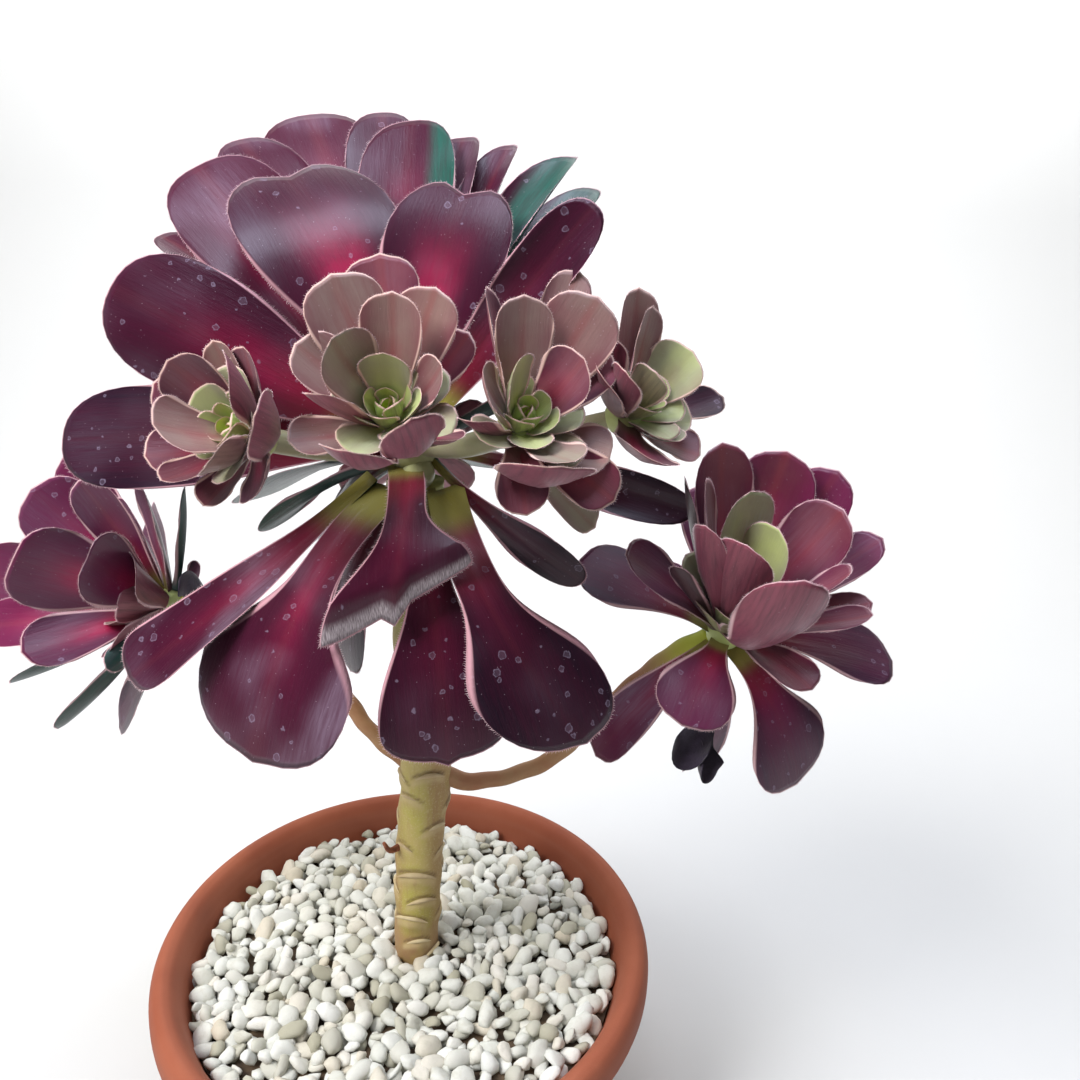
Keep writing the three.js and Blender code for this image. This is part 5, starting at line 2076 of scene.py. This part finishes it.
VELVET = rgb(0.9, 0.72, 0.95)
GLOSSY = {"coat_roughness": 0.22, "sheen_tint": VELVET}
LEAF_FINISHES = {
    "mother": LeafFinish("crown_leaf", specular=0.28, sheen=0.03, coat=0.16, bump=0.35, **GLOSSY),
    "branch": LeafFinish(
        "branch_leaf", specular=0.3, sheen=0.06, coat=0.14, **GLOSSY,
        margin=rgb(0.68, 0.42, 0.44), margin_width=0.6,
        ripe=rgb(0.15, 0.013, 0.055), shade=rgb(0.03, 0.007, 0.024),
    ),
    "offset": LeafFinish(
        "offset_leaf", specular=0.35, sheen=0.15, sheen_tint=rgb(1.0, 0.9, 0.9),
        margin=rgb(0.74, 0.5, 0.44), margin_width=0.7,
    ),
}
GRAIN_FINISHES = {
    "hairs": HairFinish("margin_hair", specular=0.3, broad=60.0),
    "clay": ClayFinish("terracotta", specular=0.3, bump=0.25, bump_reach=0.0004, broad=22.0, fine=1400.0),
    "stone": StoneFinish("pebble", roughness=0.72, specular=0.35, broad=240.0, fine=1500.0),
    "bark": BarkFinish("bark", roughness=0.62, specular=0.35, bump=0.6, broad=55.0, fine=1300.0),
    "scar": PlainFinish("leaf_scar", 0.7, light=rgb(0.66, 0.56, 0.34), deep=rgb(0.46, 0.34, 0.19)),
    "soil": PlainFinish("potting_mix", 0.95, light=rgb(0.16, 0.11, 0.07), deep=rgb(0.05, 0.035, 0.025)),
    "dead": PlainFinish(
        "dry_leaf", 0.6, sheen=0.3, light=rgb(0.06, 0.045, 0.075), deep=rgb(0.02, 0.012, 0.022),
    ),
    "twig": PlainFinish(
        "dry_twig", 0.8, light=rgb(0.34, 0.12, 0.06), deep=rgb(0.16, 0.05, 0.03), broad=300.0,
    ),
}


# ---------------------------------------------------------------- dry leaves and twig


# Root, tip, facing, width in mm and seed of each shrivelled leaf.
DRY_LEAVES = [
    ((121, -20, 214), (107, -29, 195), (-0.3, -0.9, 0.2), 13, 3.0),
    ((117, -21, 209), (115, -30, 190), (0.4, -0.9, 0.1), 9, 4.0),
    ((-84, 4, 241), (-82, -2, 261), (0.2, -0.9, 0.2), 9, 5.0),
    ((-66, 8, 228), (-74, 0, 212), (0.5, -0.8, 0.1), 7, 8.0),
]
CRUMPLED = LeafShape(0.35, 1.2, 0.3, 0.9, 1.1, 0.12, 0, curl=0.25, ripple=3.2, groove=0.8)


@dataclass
class DryBits:
    """Shrivelled leaves under the branch heads and a dry twig on the trunk."""

    detail: tuple[int, int] = (12, 18)
    twig_line: Sequence[Triple] = ((-3, -5, 137), (-6, -10, 139), (-8, -12, 144))
    twig_radii: Triple = (1.6, 1.2, 0.7)

    def build(self, dead: Material, wood: Material) -> None:
        """Builds the dry pieces.

        Args:
            dead: Material of the leaves.
            wood: Material of the twig.
        """
        body = LeafMesh()
        for root, tip, face, width, seed in DRY_LEAVES:
            root, reach = np.array(root), np.array(tip) - np.array(root)
            sizes = {"length": float(np.linalg.norm(reach)), "width": width, "seed": seed}
            made = Leaf.facing(root, unit(reach), face, 0, shape=CRUMPLED, tone=Tone.DARK.value, **sizes)
            body.add_leaf(made, *self.detail)
        finish_piece(body.build("dry_leaves", dead), "wine_leaf")
        twig = Limb(self.twig_line, self.twig_radii, sides=12, steps=16)
        mesh = new_mesh("dry_twig", twig.rings(), tube_faces(twig.steps + 1, twig.sides))
        shade_smooth(mesh)
        mesh.materials.append(wood)
        finish_piece(place_mesh("dry_twig", mesh), "stem")


# ---------------------------------------------------------------- studio


def standing(data: bpy.types.ID, *columns: Sequence[float]) -> Piece:
    """Adds an object whose matrix has these columns: its three axes and its place.

    Args:
        data: Lamp or camera.
        *columns: Three axes and the place, in metres.

    Returns:
        The object.
    """
    item = bpy.data.objects.new(data.name, data)
    matrix = Matrix.Identity(4)
    for k, column in enumerate(columns):
        for r in range(3):
            matrix[r][k] = column[r]
    item.matrix_world = matrix
    bpy.context.scene.collection.objects.link(item)
    return item


@dataclass(frozen=True)
class Lamp:
    """Soft rectangular light."""

    name: str
    place: Triple  # metres
    aim: Triple  # metres
    size: tuple[float, float]  # metres
    power: float  # watts
    colour: Triple = (1.0, 1.0, 1.0)
    mirrored: bool = True  # shows in reflections

    def build(self) -> None:
        """Adds the light."""
        data = bpy.data.lights.new(self.name, "AREA")
        data.shape = "RECTANGLE"
        data.size, data.size_y = self.size
        data.energy = self.power
        data.color = self.colour
        way = unit(np.array(self.place) - np.array(self.aim))
        side = unit(np.cross([0, 0, 1], way))
        standing(data, side, np.cross(way, side), way, self.place).visible_glossy = self.mirrored


@dataclass
class Studio:
    """Pale floor that curves up behind, soft lights and the camera."""

    lens: float = 28.0
    place: Triple = (0.0525, -0.3094, 0.368)
    pitch: float = 16.83  # degrees down
    roll: float = 2.02  # degrees
    paper: Colour = rgb(0.56, 0.56, 0.55)
    sky: Colour = rgb(0.97, 0.98, 1.0)
    sky_strength: float = 0.4
    lamps: Sequence[Lamp] = (
        Lamp("key", (-0.75, -0.55, 1.15), (0.0, 0.0, 0.25), (0.6, 0.6), 23.0, (1.0, 0.99, 0.98), False),
        Lamp("window", (0.1, -0.12, 1.35), (0.0, 0.0, 0.3), (0.8, 0.4), 10.0, (0.76, 0.82, 1.0)),
        Lamp("back", (0.2, 0.35, 1.6), (0.2, 1.1, 1.3), (1.8, 0.6), 40.0, mirrored=False),
    )
    bend: float = 0.5  # metres, like the sizes below
    back: float = 1.1
    front: float = -2.2
    wide: float = 2.6
    high: float = 2.4
    bend_steps: int = 16

    def backdrop(self) -> None:
        """Adds the floor and the sweep behind the plant."""
        start, bend = self.back - self.bend, self.bend
        profile = [(self.front, 0.0), (start, 0.0)]
        for i in range(1, self.bend_steps + 1):
            angle = math.pi / 2 * i / self.bend_steps
            profile.append((start + bend * math.sin(angle), bend - bend * math.cos(angle)))
        profile.append((self.back, self.high))
        points = [(x, y, z) for y, z in profile for x in (-self.wide, self.wide)]
        faces = [(2 * i, 2 * i + 1, 2 * i + 3, 2 * i + 2) for i in range(len(profile) - 1)]
        mesh = new_mesh("studio_sweep", np.array(points) / MM, faces)
        shade_smooth(mesh)
        material = bpy.data.materials.new("paper")
        material.use_nodes = True
        shader = material.node_tree.nodes["Principled BSDF"]
        shader.inputs["Base Color"].default_value = self.paper
        shader.inputs["Roughness"].default_value = 0.9
        mesh.materials.append(material)
        place_mesh("studio_sweep", mesh)

    def camera(self) -> None:
        """Adds the camera, level with the heads and looking a little down."""
        data = bpy.data.cameras.new("camera")
        data.lens, data.sensor_width, data.clip_start = self.lens, 36.0, 0.01
        pitch, roll = math.radians(self.pitch), math.radians(self.roll)
        ahead, right = np.array([0.0, math.cos(pitch), -math.sin(pitch)]), np.array([1.0, 0.0, 0.0])
        up = np.cross(right, ahead)
        across = math.cos(roll) * right + math.sin(roll) * up
        upward = math.cos(roll) * up - math.sin(roll) * right
        bpy.context.scene.camera = standing(data, across, upward, -ahead, self.place)

    def build(self) -> None:
        """Adds everything round the object."""
        self.backdrop()
        for lamp in self.lamps:
            lamp.build()
        world = bpy.data.worlds.new("studio_air")
        world.use_nodes = True
        air = world.node_tree.nodes["Background"]
        air.inputs["Color"].default_value = self.sky
        air.inputs["Strength"].default_value = self.sky_strength
        world.cycles_visibility.glossy = False
        bpy.context.scene.world = world
        bpy.context.scene.view_settings.view_transform = "Standard"
        self.camera()


def main() -> None:
    """Builds the plant, the pot and the studio in order."""
    logging.basicConfig(level=logging.INFO, format="%(name)s: %(message)s")
    skin, grain = LeafSkin().build(), fine_grain()
    leaves = {name: finish.build(skin) for name, finish in LEAF_FINISHES.items()}
    finishes = {name: finish.build(grain) for name, finish in GRAIN_FINISHES.items()}
    bowl = Bowl()
    bowl.build(finishes["clay"])
    Gravel(bowl).build(finishes["stone"], finishes["soil"])
    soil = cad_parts["potting_mix"]
    soil.data.materials.clear()
    soil.data.materials.append(finishes["soil"])
    Stem().build(finishes["bark"], finishes["scar"])
    DryBits().build(finishes["dead"], finishes["twig"])
    hairs = hair_tree()
    for head in all_heads():
        head.build(leaves[head.name.split("_")[0]], finishes["hairs"], hairs)
    Studio().build()


if __name__ == "__main__":
    main()
